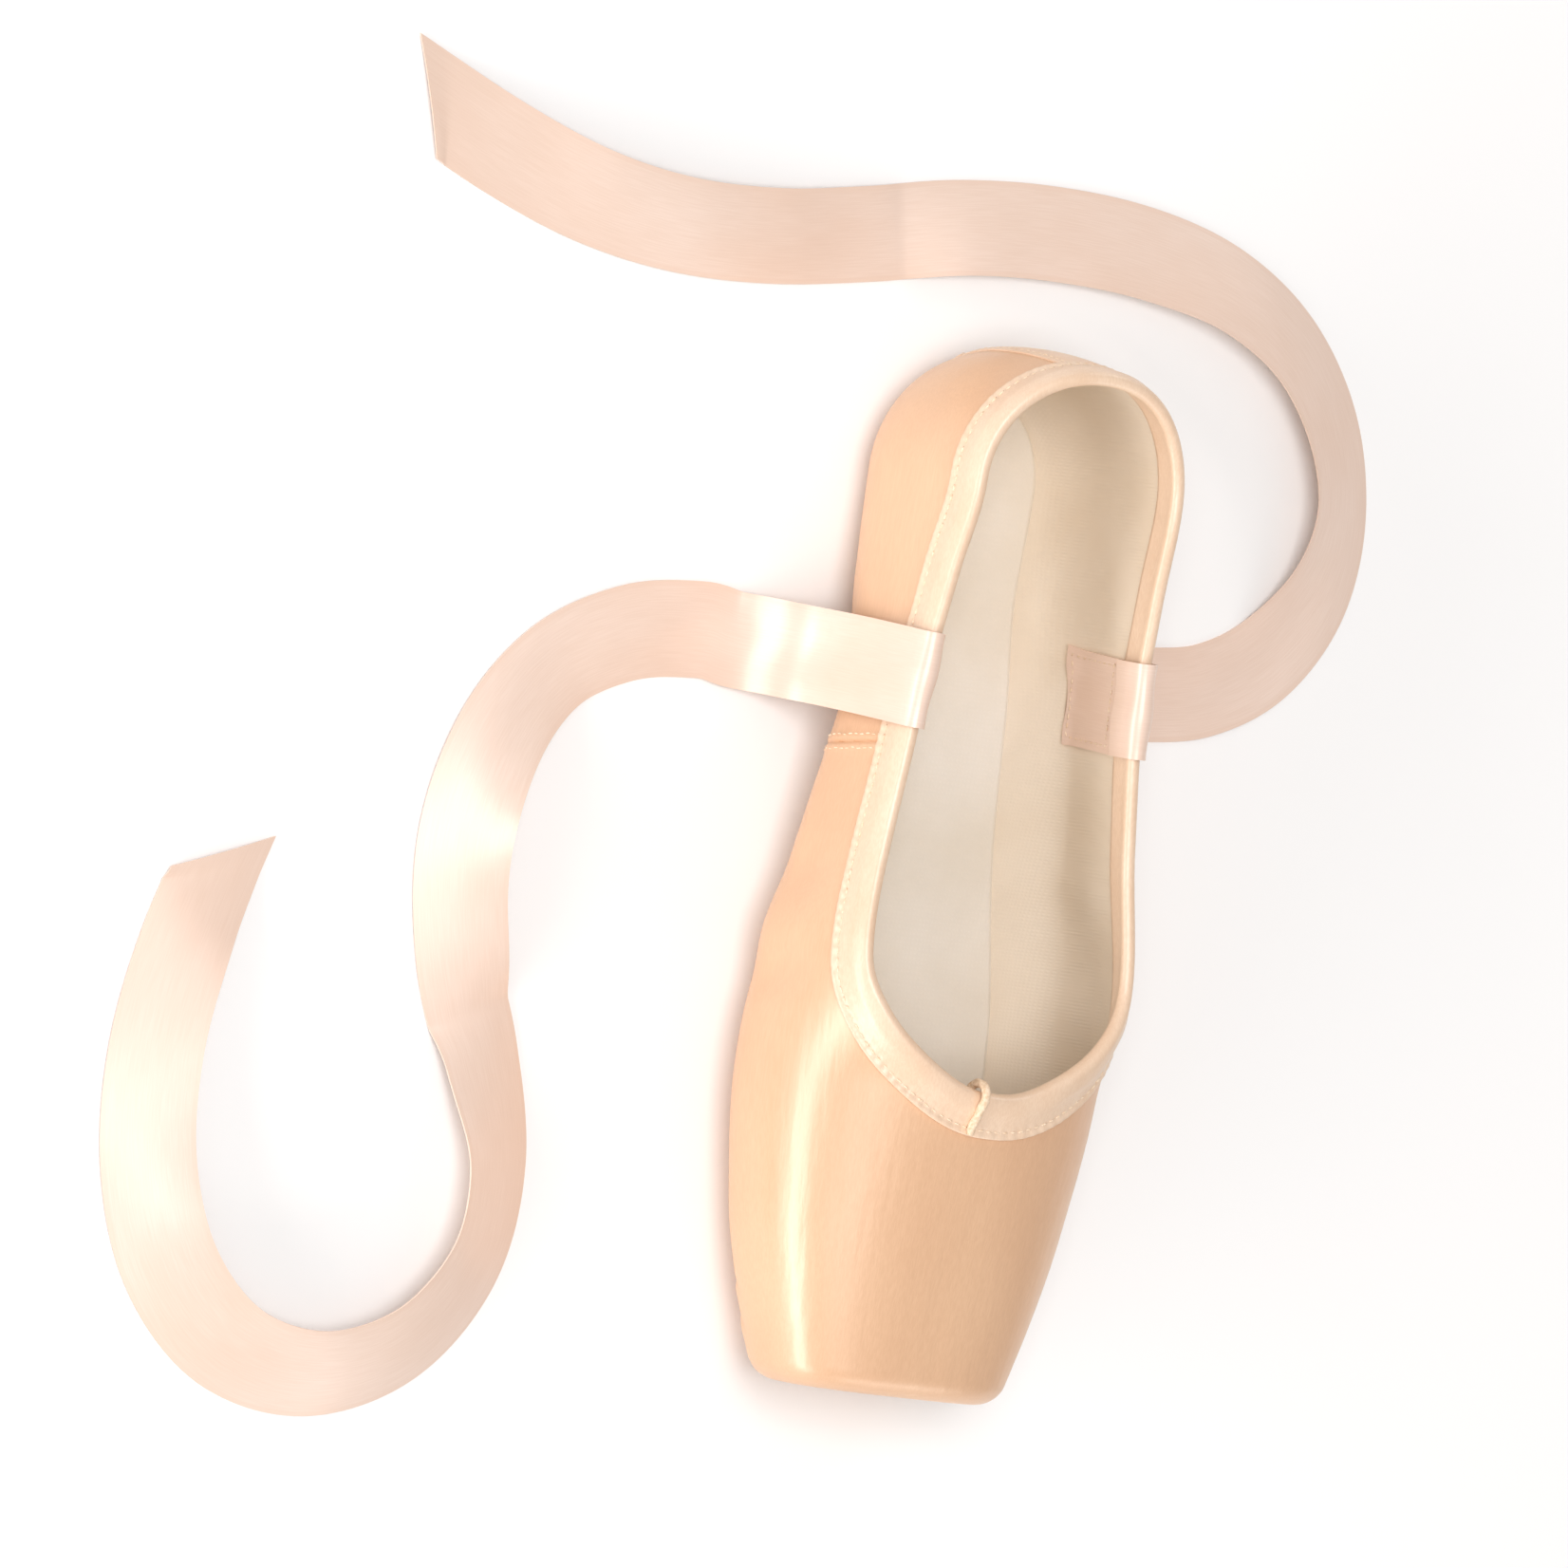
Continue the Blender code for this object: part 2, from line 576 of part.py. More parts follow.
def ribbon_frame(frames, side):
    """Where a ribbon crosses the rim: its frame there and the direction of its width."""
    wanted = FRONT + RIBBON_PLACE
    near = sorted((frame for frame in frames if frame[0].x * side > 0),
                  key=lambda frame: abs(frame[0].y - wanted))[:2]
    point, normal, into, wall = near[0]
    width = (point - near[1][0]).normalized()
    width = width if width.y * side < 0 else -width
    return point + width * ((wanted - point.y) / width.y), normal, into, wall, width


def make_ribbon(name, side, frames, materials):
    """Free tie ribbon, from the sewn end over the binding and down on to the floor."""
    start, _, _, _, collar = ribbon_frame(frames, side)
    level = RIBBON_THICKNESS / 2 + RIBBON_FLOOR_GAP
    points = [Vector((start.x + side * out * RIBBON_WIDTH, start.y + along * RIBBON_WIDTH,
                      lerp(level, start.z, up))) for out, along, up in RIBBON_OVER_COLLAR]
    points += [Vector((start.x + across * RIBBON_LENGTH, start.y + along * RIBBON_LENGTH, level))
               for across, along in RIBBON_ON_FLOOR[name]]
    route = smooth_route(points, RIBBON_POINTS_PER_STEP)
    low, high = (share * start.z for share in RIBBON_TURN_SHARES)
    rings = []
    for point, direction in zip(route, route_directions(route)):
        level = direction.cross(Vector((0, 0, 1)))
        upright = ease(point.z, low, high)
        width = collar * upright + level.normalized() * (1 - upright) if upright < 1 else collar.copy()
        width = (width - direction * width.dot(direction)).normalized() * RIBBON_WIDTH / 2
        thick = direction.cross(width).normalized() * RIBBON_THICKNESS / 2
        rings.append([point + width + thick, point - width + thick,
                      point - width - thick, point + width - thick])
    loft(name, rings, "satin_ribbon", materials)


def make_ribbon_end(name, side, frames, inside, materials):
    """Sewn end of a ribbon against the lining, below the inner leg of the binding."""
    point, normal, into, wall, along = ribbon_frame(frames, side)
    middle = point - normal * wall
    rows, columns = 5, 4
    rings = []
    for row in range(rows + 1):
        depth = BINDING_INSIDE + 2 * GAP + RIBBON_SEWN_LENGTH * row / rows
        under, over = [], []
        for i in range(columns + 1):
            place = middle + into * depth + along * lerp(-RIBBON_WIDTH / 2, RIBBON_WIDTH / 2, i / columns)
            under.append(laid_on(inside, place, -TRIM_GAP))
            over.append(laid_on(inside, place, -TRIM_GAP - RIBBON_THICKNESS))
        rings.append(over + under[::-1])
    loft(name, rings, "satin_ribbon", materials)


def make_drawstring(frames, outside, inside, materials):
    """Drawstring end that comes out of the binding inside, over its fold and down its outer leg."""
    front = [frame for frame in frames if frame[0].y < FRONT + VAMP_LENGTH + THROAT_LENGTH / 2]
    point, normal, into, wall = min(front, key=lambda frame: abs(frame[0].x + DRAWSTRING_OFFSET))
    clear = BINDING_GAP + TAPE_THICKNESS + GAP + DRAWSTRING_RADIUS
    aside, up, top = (share * clear for share in DRAWSTRING_FOLD_SHARES)
    inner = point - normal * wall
    points = [laid_on(inside, inner + into * BINDING_INSIDE * share, -clear)
              for share in DRAWSTRING_INSIDE_SHARES]
    points += [inner - normal * aside - into * up, (inner + point) / 2 - into * top,
               point + normal * aside - into * up]
    points += [laid_on(outside, point + into * BINDING_OUTSIDE * share, clear)
               for share in DRAWSTRING_OUTSIDE_SHARES]
    route = smooth_route(points, 2)
    rings = []
    for place, direction in zip(route, route_directions(route)):
        first = direction.cross(Vector((1, 0, 0))).normalized()
        second = direction.cross(first)
        turns = [i * math.tau / 8 for i in range(8)]
        rings.append([place + (first * math.cos(turn) + second * math.sin(turn)) * DRAWSTRING_RADIUS
                      for turn in turns])
    loft("drawstring", rings, "cord", materials)


def main():
    """Build every piece of the shoe."""
    remove_scene_objects()
    materials = {name: make_material(name) for name in FINISHES}
    rim, outside, inside = make_upper(materials)
    frames = rim_frames(rim)
    make_patches(materials)
    make_insole(materials)
    make_binding(frames, outside, inside, materials)
    make_back_strip(outside, materials)
    make_drawstring(frames, outside, inside, materials)
    for name, side in (("right", 1), ("left", -1)):
        make_ribbon_end("ribbon_end_" + name, side, frames, inside, materials)
        make_ribbon("ribbon_" + name, side, frames, materials)


main()
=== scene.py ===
"""Looks of an empty pointe shoe: satin upper, tapes, leather patches, ribbons and stitches.

Metres, +Z up, toe platform towards -Y. A distance is measured from the toe platform to the heel.
"""

import logging
import math
from dataclasses import dataclass, field
from enum import Enum

import bpy
import numpy as np
from mathutils import Matrix, Vector
from mathutils.bvhtree import BVHTree


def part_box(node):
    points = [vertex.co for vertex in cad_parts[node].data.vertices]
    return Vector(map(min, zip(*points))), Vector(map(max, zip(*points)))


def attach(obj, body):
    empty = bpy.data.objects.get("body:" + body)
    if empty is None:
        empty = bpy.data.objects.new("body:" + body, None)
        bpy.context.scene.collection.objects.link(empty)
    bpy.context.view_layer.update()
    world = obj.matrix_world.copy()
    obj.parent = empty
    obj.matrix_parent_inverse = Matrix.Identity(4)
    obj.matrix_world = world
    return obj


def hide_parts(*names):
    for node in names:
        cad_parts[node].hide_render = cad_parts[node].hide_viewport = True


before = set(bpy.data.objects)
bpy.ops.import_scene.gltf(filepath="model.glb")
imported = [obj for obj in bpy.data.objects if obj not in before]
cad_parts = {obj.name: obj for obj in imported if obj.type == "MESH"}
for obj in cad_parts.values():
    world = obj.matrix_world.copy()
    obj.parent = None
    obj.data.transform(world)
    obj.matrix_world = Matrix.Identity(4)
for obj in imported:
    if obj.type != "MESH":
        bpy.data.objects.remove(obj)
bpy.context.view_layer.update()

logging.basicConfig(level=logging.INFO, format="%(message)s")
log = logging.getLogger("pointe_shoe")

MM = 0.001
SEAT = 0.02 * MM
BODY = "root"


class Slot(Enum):
    """Material slots of the record."""

    SATIN = "satin"
    LEATHER = "leather"
    SOCK = "sock_lining"
    TAPE = "satin_tape"
    CORD = "cord"
    RIBBON = "satin_ribbon"


class Side(Enum):
    """Sides of the shoe, as the sign of X."""

    RIGHT = 1
    LEFT = -1


def ease(value: np.ndarray, low: float, high: float) -> np.ndarray:
    """Smooth step from 0 at low to 1 at high."""
    share = np.clip((np.asarray(value, float) - low) / (high - low), 0.0, 1.0)
    return share * share * (3 - 2 * share)


def bell(value: np.ndarray, width: float) -> np.ndarray:
    """Bell curve, 1 in its middle and nearly 0 at twice its width."""
    return np.exp(-(np.asarray(value, float) / width) ** 2)


def unit(vectors: np.ndarray) -> np.ndarray:
    """Vectors of length 1."""
    length = np.linalg.norm(vectors, axis=-1, keepdims=True)
    return vectors / np.maximum(length, 1e-12)


def linear(colour: str) -> tuple[float, float, float, float]:
    """Linear RGBA of an sRGB hex colour."""
    channels = [int(colour[i:i + 2], 16) / 255 for i in (0, 2, 4)]
    return (*[c / 12.92 if c <= 0.04045 else ((c + 0.055) / 1.055) ** 2.4 for c in channels], 1.0)


# Shape of the last


@dataclass(frozen=True)
class Section:
    """Half section of the last."""

    distance: float
    turn: float
    half: float
    flat: float
    widest: float
    keel: float
    ridge: float
    top: float
    bottom: float
    first: float


@dataclass
class Last:
    """Shape that the shoe is made on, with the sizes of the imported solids."""

    vamp_height: float = 0.0525
    heel_depth: float = 0.031
    toe_spring: float = 0.0022
    arch_rise: float = 0.0050
    rounding: float = 0.0050
    vamp_length: float = 0.070
    throat_length: float = 0.030
    throat_power: float = 2.5
    toe_wall: float = 0.0035
    quarter_wall: float = 0.0014
    sole: float = 0.0020
    gap: float = 0.0003
    columns: tuple = ("at", "width", "widest", "ridge", "flat", "spring", "arch", "top", "bottom", "collar")
    rows: tuple = (
        (0.000, 0.667, 0.410, 0.752, 0.47, 1.00, 0.00, 2.50, 2.30, 0.934),
        (0.096, 0.811, 0.371, 0.819, 0.55, 0.35, 0.00, 2.45, 2.30, 0.934),
        (0.191, 0.922, 0.343, 0.882, 0.60, 0.00, 0.00, 2.35, 2.25, 0.934),
        (0.335, 1.000, 0.320, 1.000, 0.60, 0.00, 0.00, 2.25, 2.20, 0.934),
        (0.407, 0.989, 0.314, 1.096, 0.59, 0.00, 0.00, 2.20, 2.15, 0.867),
        (0.478, 0.951, 0.314, 1.263, 0.56, 0.00, 0.00, 2.15, 2.10, 0.807),
        (0.622, 0.822, 0.333, 1.544, 0.48, 0.00, 0.55, 2.00, 2.00, 0.765),
        (0.751, 0.733, 0.381, 1.737, 0.46, 0.00, 1.00, 2.00, 2.00, 0.765),
        (0.895, 0.689, 0.410, 1.861, 0.58, 0.00, 0.00, 2.00, 2.30, 0.833),
        (1.000, 0.667, 0.420, 1.930, 0.66, 0.00, 0.00, 2.00, 2.40, 0.904),
    )
    back: tuple = (("widest", 0.495), ("ridge", 1.561), ("collar", 1.000))

    def __post_init__(self) -> None:
        """Take length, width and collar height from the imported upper."""
        low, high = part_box("upper")
        self.front = low.y
        self.length = high.y - low.y
        self.ball_width = high.x - low.x
        self.collar_height = high.z
        self.heel_centre = self.length - self.heel_depth
        width = self.rows[-1][self.columns.index("width")]
        self.heel_stretch = self.heel_depth / (width * self.ball_width / 2)

    def column(self, name: str, at: float) -> float:
        """Value of a column at a place, through a cubic that never overshoots and ends level.

        Args:
            name: Name of the column.
            at: Share of the way to the centre of the heel.

        Returns:
            The value.
        """
        places = [row[0] for row in self.rows]
        values = [row[self.columns.index(name)] for row in self.rows]
        last = len(places) - 1
        at = min(places[-1], max(places[0], at))
        row = max(i for i in range(last) if places[i] <= at)
        slopes = [(values[i + 1] - values[i]) / (places[i + 1] - places[i]) for i in range(last)]

        def tangent(i: int) -> float:
            """Slope of the cubic at a row.

            Args:
                i: Number of the row.

            Returns:
                The slope.
            """
            if i == 0:
                return slopes[0]
            if i == last or slopes[i - 1] * slopes[i] <= 0:
                return 0.0
            return 2 / (1 / slopes[i - 1] + 1 / slopes[i])

        step = places[row + 1] - places[row]
        t = (at - places[row]) / step
        return (values[row] * (1 + 2 * t) * (1 - t) ** 2 + values[row + 1] * t * t * (3 - 2 * t)
                + tangent(row) * step * t * (1 - t) ** 2 - tangent(row + 1) * step * t * t * (1 - t))

    def wall(self, distance: float) -> float:
        """Thickness of the upper, from the stiff toe box to the soft quarters."""
        share = float(ease(distance, 0.1 * self.length, 0.45 * self.length))
        return self.toe_wall + (self.quarter_wall - self.toe_wall) * share

    def section(self, distance: float, turn: float = 0.0) -> Section:
        """Half section at a distance, or turned about the centre of the round heel.

        Args:
            distance: Distance from the toe platform.
            turn: Angle in radians about the centre of the heel.

        Returns:
            The half section.
        """
        body = {name: self.column(name, distance / self.heel_centre) for name in self.columns[1:]}
        for name, share in self.back:
            body[name] += (share - body[name]) * math.sin(turn) ** 2
        inset = 0.0
        if distance < self.rounding:
            inset = self.rounding - math.sqrt(self.rounding ** 2 - (self.rounding - distance) ** 2)
        opened = float(ease(distance, self.vamp_length, self.vamp_length + self.throat_length))
        tall = self.vamp_height + (self.collar_height - self.vamp_height) * opened
        half = body["width"] * self.ball_width / 2 - inset
        widest = body["widest"] * self.vamp_height
        ridge = body["ridge"] * tall - inset
        keel = self.sole + self.gap + body["spring"] * self.toe_spring + body["arch"] * self.arch_rise
        first = self.collar_angle(widest, ridge, body["top"], body["collar"] * tall, distance)
        return Section(distance, turn, half, body["flat"] * half, widest, keel + inset, ridge,
                       body["top"], body["bottom"], first)

    def collar_angle(self, widest: float, ridge: float, power: float, height: float,
                     distance: float) -> float:
        """Angle at which the top ellipse of a section ends, at the ridge, the throat or the collar.

        Args:
            widest: Height where the section is widest.
            ridge: Height of its closed top.
            power: Power of its top ellipse.
            height: Height of the collar.
            distance: Distance from the toe platform.

        Returns:
            Angle in radians.
        """
        if distance <= self.vamp_length:
            return math.pi / 2
        share = (1 - ((height - widest) / (ridge - widest)) ** power) ** (1 / power)
        opened = min(1.0, (distance - self.vamp_length) / self.throat_length)
        share *= (1 - (1 - opened) ** self.throat_power) ** (1 / self.throat_power)
        return math.acos(share ** (power / 2))

    def outline(self, section: Section, t: np.ndarray) -> np.ndarray:
        """Outer points of a half section.

        Args:
            section: The half section.
            t: 0 at the collar, 1 at the widest, 2 at the corner of the flat and 3 at the keel.

        Returns:
            One row of how far out and how high for each t.
        """
        t = np.asarray(t, float)
        high = section.first * np.clip(1 - t, 0, 1)
        low = np.clip(t - 1, 0, 1) * math.pi / 2
        out = np.where(t <= 1, section.half * np.clip(np.cos(high), 0, 1) ** (2 / section.top),
                       section.flat + (section.half - section.flat)
                       * np.clip(np.cos(low), 0, 1) ** (2 / section.bottom))
        height = np.where(t <= 1, section.widest + (section.ridge - section.widest)
                          * np.sin(high) ** (2 / section.top),
                          section.widest - (section.widest - section.keel)
                          * np.sin(low) ** (2 / section.bottom))
        out = np.where(t > 2, section.flat * (3 - t), out)
        height = np.where(t > 2, section.keel, height)
        return np.stack([out, height], axis=-1)

    def place(self, section: Section, flat_points: np.ndarray, side: int) -> np.ndarray:
        """Points in the shoe of the out and height pairs of a section."""
        out, height = flat_points[..., 0], flat_points[..., 1]
        along = self.front + section.distance + out * self.heel_stretch * math.sin(section.turn)
        return np.stack([side * out * math.cos(section.turn), along + 0 * out, height], axis=-1)

    def point(self, distance: float, t: float, side: int) -> np.ndarray:
        """Outer point at a distance and a place round the section."""
        section = self.section(distance)
        return self.place(section, self.outline(section, np.array([t]))[0], side)

    def spread(self, section: Section, shares: np.ndarray) -> np.ndarray:
        """Out and height at shares of the way round a half section, from the collar to the keel.

        Args:
            section: The half section.
            shares: Shares from 0 to 1.

        Returns:
            One row of how far out and how high for each share.
        """
        fine = self.outline(section, np.linspace(0.0, 3.0, 901))
        steps = np.linalg.norm(np.diff(fine, axis=0), axis=1)
        way = np.concatenate([[0.0], np.cumsum(steps)])
        wanted = shares * way[-1]
        return np.stack([np.interp(wanted, way, fine[:, 0]), np.interp(wanted, way, fine[:, 1])], -1)

    def bottom_height(self, across: float, distance: float) -> float:
        """Height of the last's underside at a place, flat in the middle and rising to the sides.

        Args:
            across: Place across the shoe.
            distance: Distance from the toe platform.

        Returns:
            Height over the floor.
        """
        turn, out = 0.0, abs(across)
        if distance > self.heel_centre:
            behind = (distance - self.heel_centre) / self.heel_stretch
            turn, out = math.atan2(behind, abs(across)), math.hypot(across, behind)
            distance = self.heel_centre
        section = self.section(distance, turn)
        share = min(1.0, max(0.0, (out - section.flat) / (section.half - section.flat)))
        rise = 1 - (1 - share ** section.bottom) ** (1 / section.bottom)
        return section.keel + (section.widest - section.keel) * rise


# Meshes


def link(name: str, mesh: bpy.types.Mesh) -> bpy.types.Object:
    """Object of a mesh, in the scene."""
    item = bpy.data.objects.new(name, mesh)
    bpy.context.scene.collection.objects.link(item)
    return item


def signed_volume(points: np.ndarray, faces: list) -> float:
    """Volume inside faces that point outwards, negative where they point inwards.

    Args:
        points: Points, one a row.
        faces: Tuples of vertex numbers.

    Returns:
        Volume in cubic metres.
    """
    total = 0.0
    for count in {len(face) for face in faces}:
        corners = points[np.array([face for face in faces if len(face) == count])]
        for i in range(1, count - 1):
            cross = np.cross(corners[:, i], corners[:, i + 1])
            total += float((corners[:, 0] * cross).sum())
    return total / 6


def mesh_piece(name: str, points: np.ndarray, faces: list, sharp: float = 50.0) -> bpy.types.Object:
    """Closed smooth piece with its faces turned outwards.

    Args:
        name: Name of the piece.
        points: Its vertices.
        faces: Its faces as tuples of vertex numbers.
        sharp: Angle in degrees above which an edge stays sharp.

    Returns:
        The new object.
    """
    points = np.asarray(points, float)
    if signed_volume(points, faces) < 0:
        faces = [tuple(reversed(face)) for face in faces]
    mesh = bpy.data.meshes.new(name)
    mesh.from_pydata(points.tolist(), [], faces)
    mesh.validate()
    mesh.shade_smooth()
    mesh.set_sharp_from_angle(angle=math.radians(sharp))
    return link(name, mesh)


def ring_faces(rows: int, columns: int, closed: bool, first: int = 0) -> list:
    """Faces of a tube of rings, capped at both ends or closed into a loop.

    Args:
        rows: Number of rings.
        columns: Points in a ring.
        closed: Whether the last ring joins the first.
        first: Number of the first vertex.

    Returns:
        Tuples of vertex numbers.
    """
    faces = []
    for i in range(rows if closed else rows - 1):
        near, far = first + i * columns, first + (i + 1) % rows * columns
        for j in range(columns):
            k = (j + 1) % columns
            faces.append((near + j, near + k, far + k, far + j))
    if not closed:
        faces.append(tuple(first + j for j in reversed(range(columns))))
        faces.append(tuple(first + (rows - 1) * columns + j for j in range(columns)))
    return faces


def along_folds(faces: list, depth: np.ndarray) -> list:
    """The same faces, with each quad split between the two corners of more equal depth."""
    return [face[1:] + face[:1] if len(face) == 4
            and abs(depth[face[1]] - depth[face[3]]) < abs(depth[face[0]] - depth[face[2]]) else face
            for face in faces]


def tube_piece(name: str, rings: np.ndarray, closed: bool = False, sharp: float = 50.0,
               depth: np.ndarray | None = None) -> bpy.types.Object:
    """Piece lofted through rings of equally many points.

    Args:
        name: Name of the piece.
        rings: Its rings of points, in their order along the piece.
        closed: Whether the last ring joins the first.
        sharp: Angle in degrees above which an edge stays sharp.
        depth: Depth of the relief at each point, where quads have to follow its lines.

    Returns:
        The new object.
    """
    rings = np.asarray(rings, float)
    faces = ring_faces(rings.shape[0], rings.shape[1], closed)
    if depth is not None:
        faces = along_folds(faces, np.ravel(depth))
    return mesh_piece(name, rings.reshape(-1, 3), faces, sharp)


def set_attribute(item: bpy.types.Object, name: str, values: np.ndarray) -> None:
    """Keep a number per vertex on a piece, for its material."""
    layer = item.data.attributes.new(name, "FLOAT", "POINT")
    layer.data.foreach_set("value", np.asarray(values, np.float32).ravel())


def vertex_points(item: bpy.types.Object) -> np.ndarray:
    """Vertices of a piece."""
    points = np.empty(len(item.data.vertices) * 3)
    item.data.vertices.foreach_get("co", points)
    return points.reshape(-1, 3)


def laid_on(tree: BVHTree, point: np.ndarray, lift: float) -> np.ndarray:
    """Point of a skin nearest to a point, lifted along the skin's normal."""
    place, normal, _, _ = tree.find_nearest(Vector(point))
    return np.array(place + normal * lift)


def smooth_route(points: np.ndarray, steps: int) -> np.ndarray:
    """Points along a smooth curve through the given ones.

    Args:
        points: Points, one a row.
        steps: Points for each given one.

    Returns:
        Points of the curve.
    """
    points = np.asarray(points, float)
    ends = np.concatenate([[points[0] * 2 - points[1]], points, [points[-1] * 2 - points[-2]]])
    route = []
    for a, b, c, d in zip(ends, ends[1:], ends[2:], ends[3:]):
        for i in range(steps):
            t = i / steps
            route.append(0.5 * (2 * b + (c - a) * t + (2 * a - 5 * b + 4 * c - d) * t ** 2
                                + (3 * b - a - 3 * c + d) * t ** 3))
    return np.array(route + [points[-1]])


def even_route(points: np.ndarray, step: float) -> np.ndarray:
    """The same line with points a step apart."""
    way = np.concatenate([[0.0], np.cumsum(np.linalg.norm(np.diff(points, axis=0), axis=1))])
    places = np.linspace(0.0, way[-1], max(2, round(way[-1] / step) + 1))
    return np.stack([np.interp(places, way, points[:, i]) for i in range(3)], axis=1)


def directions(route: np.ndarray) -> np.ndarray:
    """Unit direction at each point of a route."""
    ends = np.concatenate([route[:1], route, route[-1:]])
    return unit(ends[2:] - ends[:-2])


# Finishes


def add(tree: bpy.types.NodeTree, kind: str, inputs: dict | None = None,
        **settings: object) -> bpy.types.Node:
    """Node with its settings, its values and its links.

    Args:
        tree: Tree that the node goes into.
        kind: Type name of the node.
        inputs: Value, or socket to link, for each input by name or number.
        **settings: Properties of the node.

    Returns:
        The new node.
    """
    made = tree.nodes.new(kind)
    for name, value in settings.items():
        setattr(made, name, value)
    for name, value in (inputs or {}).items():
        if isinstance(value, bpy.types.NodeSocket):
            tree.links.new(value, made.inputs[name])
        else:
            made.inputs[name].default_value = value
    return made


@dataclass(frozen=True)
class Finish:
    """Look of one real material, as its Principled shader's own values."""

    name: str
    colour: str
    deep: str
    roughness: float
    mottle: float = 12.0
    sheen: float = 0.0
    anisotropy: float = 0.0
    specular: float = 0.5
    ior: float = 1.5
    lustre: float = 0.0
    turned: float = 0.0
    gloss: str = "FFFFFF"

    def blank(self) -> tuple[bpy.types.Material, bpy.types.NodeTree, bpy.types.Node, bpy.types.NodeSocket]:
        """Material with its shader, and the object coordinates that its patterns use.

        Returns:
            The material, its nodes, its shader and the coordinates.
        """
        material = bpy.data.materials.new(self.name)
        material.use_nodes = True
        material.diffuse_color = linear(self.colour)
        tree = material.node_tree
        shader = tree.nodes["Principled BSDF"]
        shader.inputs["Sheen Weight"].default_value = self.sheen
        shader.inputs["Sheen Roughness"].default_value = 0.35
        shader.inputs["Anisotropic"].default_value = self.anisotropy
        shader.inputs["Anisotropic Rotation"].default_value = self.turned
        shader.inputs["Specular IOR Level"].default_value = self.specular
        shader.inputs["Specular Tint"].default_value = linear(self.gloss)
        shader.inputs["IOR"].default_value = self.ior
        shader.inputs["Metallic"].default_value = self.lustre
        place = add(tree, "ShaderNodeTexCoord").outputs["Object"]
        return material, tree, shader, place

    def noise(self, tree: bpy.types.NodeTree, place: bpy.types.NodeSocket, grain: tuple,
              detail: float = 3.0) -> bpy.types.NodeSocket:
        """Noise whose spots are as large as grain, in mm along X, Y and Z."""
        scaled = add(tree, "ShaderNodeMapping", {"Vector": place, "Scale": [1 / (g * MM) for g in grain]})
        return add(tree, "ShaderNodeTexNoise", {"Vector": scaled.outputs[0], "Scale": 1.0,
                                                "Detail": detail}).outputs["Fac"]

    def ranged(self, tree: bpy.types.NodeTree, value: bpy.types.NodeSocket, low: float,
               high: float, to_low: float = 0.0, to_high: float = 1.0) -> bpy.types.NodeSocket:
        """Value moved from one range to another."""
        return add(tree, "ShaderNodeMapRange", {"Value": value, "From Min": low, "From Max": high,
                                                "To Min": to_low, "To Max": to_high}).outputs[0]

    def mixed(self, tree: bpy.types.NodeTree, share: bpy.types.NodeSocket | float, first: object,
              second: object) -> bpy.types.NodeSocket:
        """Colour between two, by a share."""
        return add(tree, "ShaderNodeMix", {0: share, 6: first, 7: second}, data_type="RGBA").outputs[2]

    def clouded(self, tree: bpy.types.NodeTree, value: bpy.types.NodeSocket, low: float,
                high: float) -> bpy.types.NodeSocket:
        """Colour from the deep one to the main one, as a value rises."""
        return self.mixed(tree, self.ranged(tree, value, low, high), linear(self.deep), linear(self.colour))

    def attribute(self, tree: bpy.types.NodeTree, name: str) -> bpy.types.NodeSocket:
        """Number kept per vertex on the piece."""
        return add(tree, "ShaderNodeAttribute", attribute_name=name).outputs["Fac"]


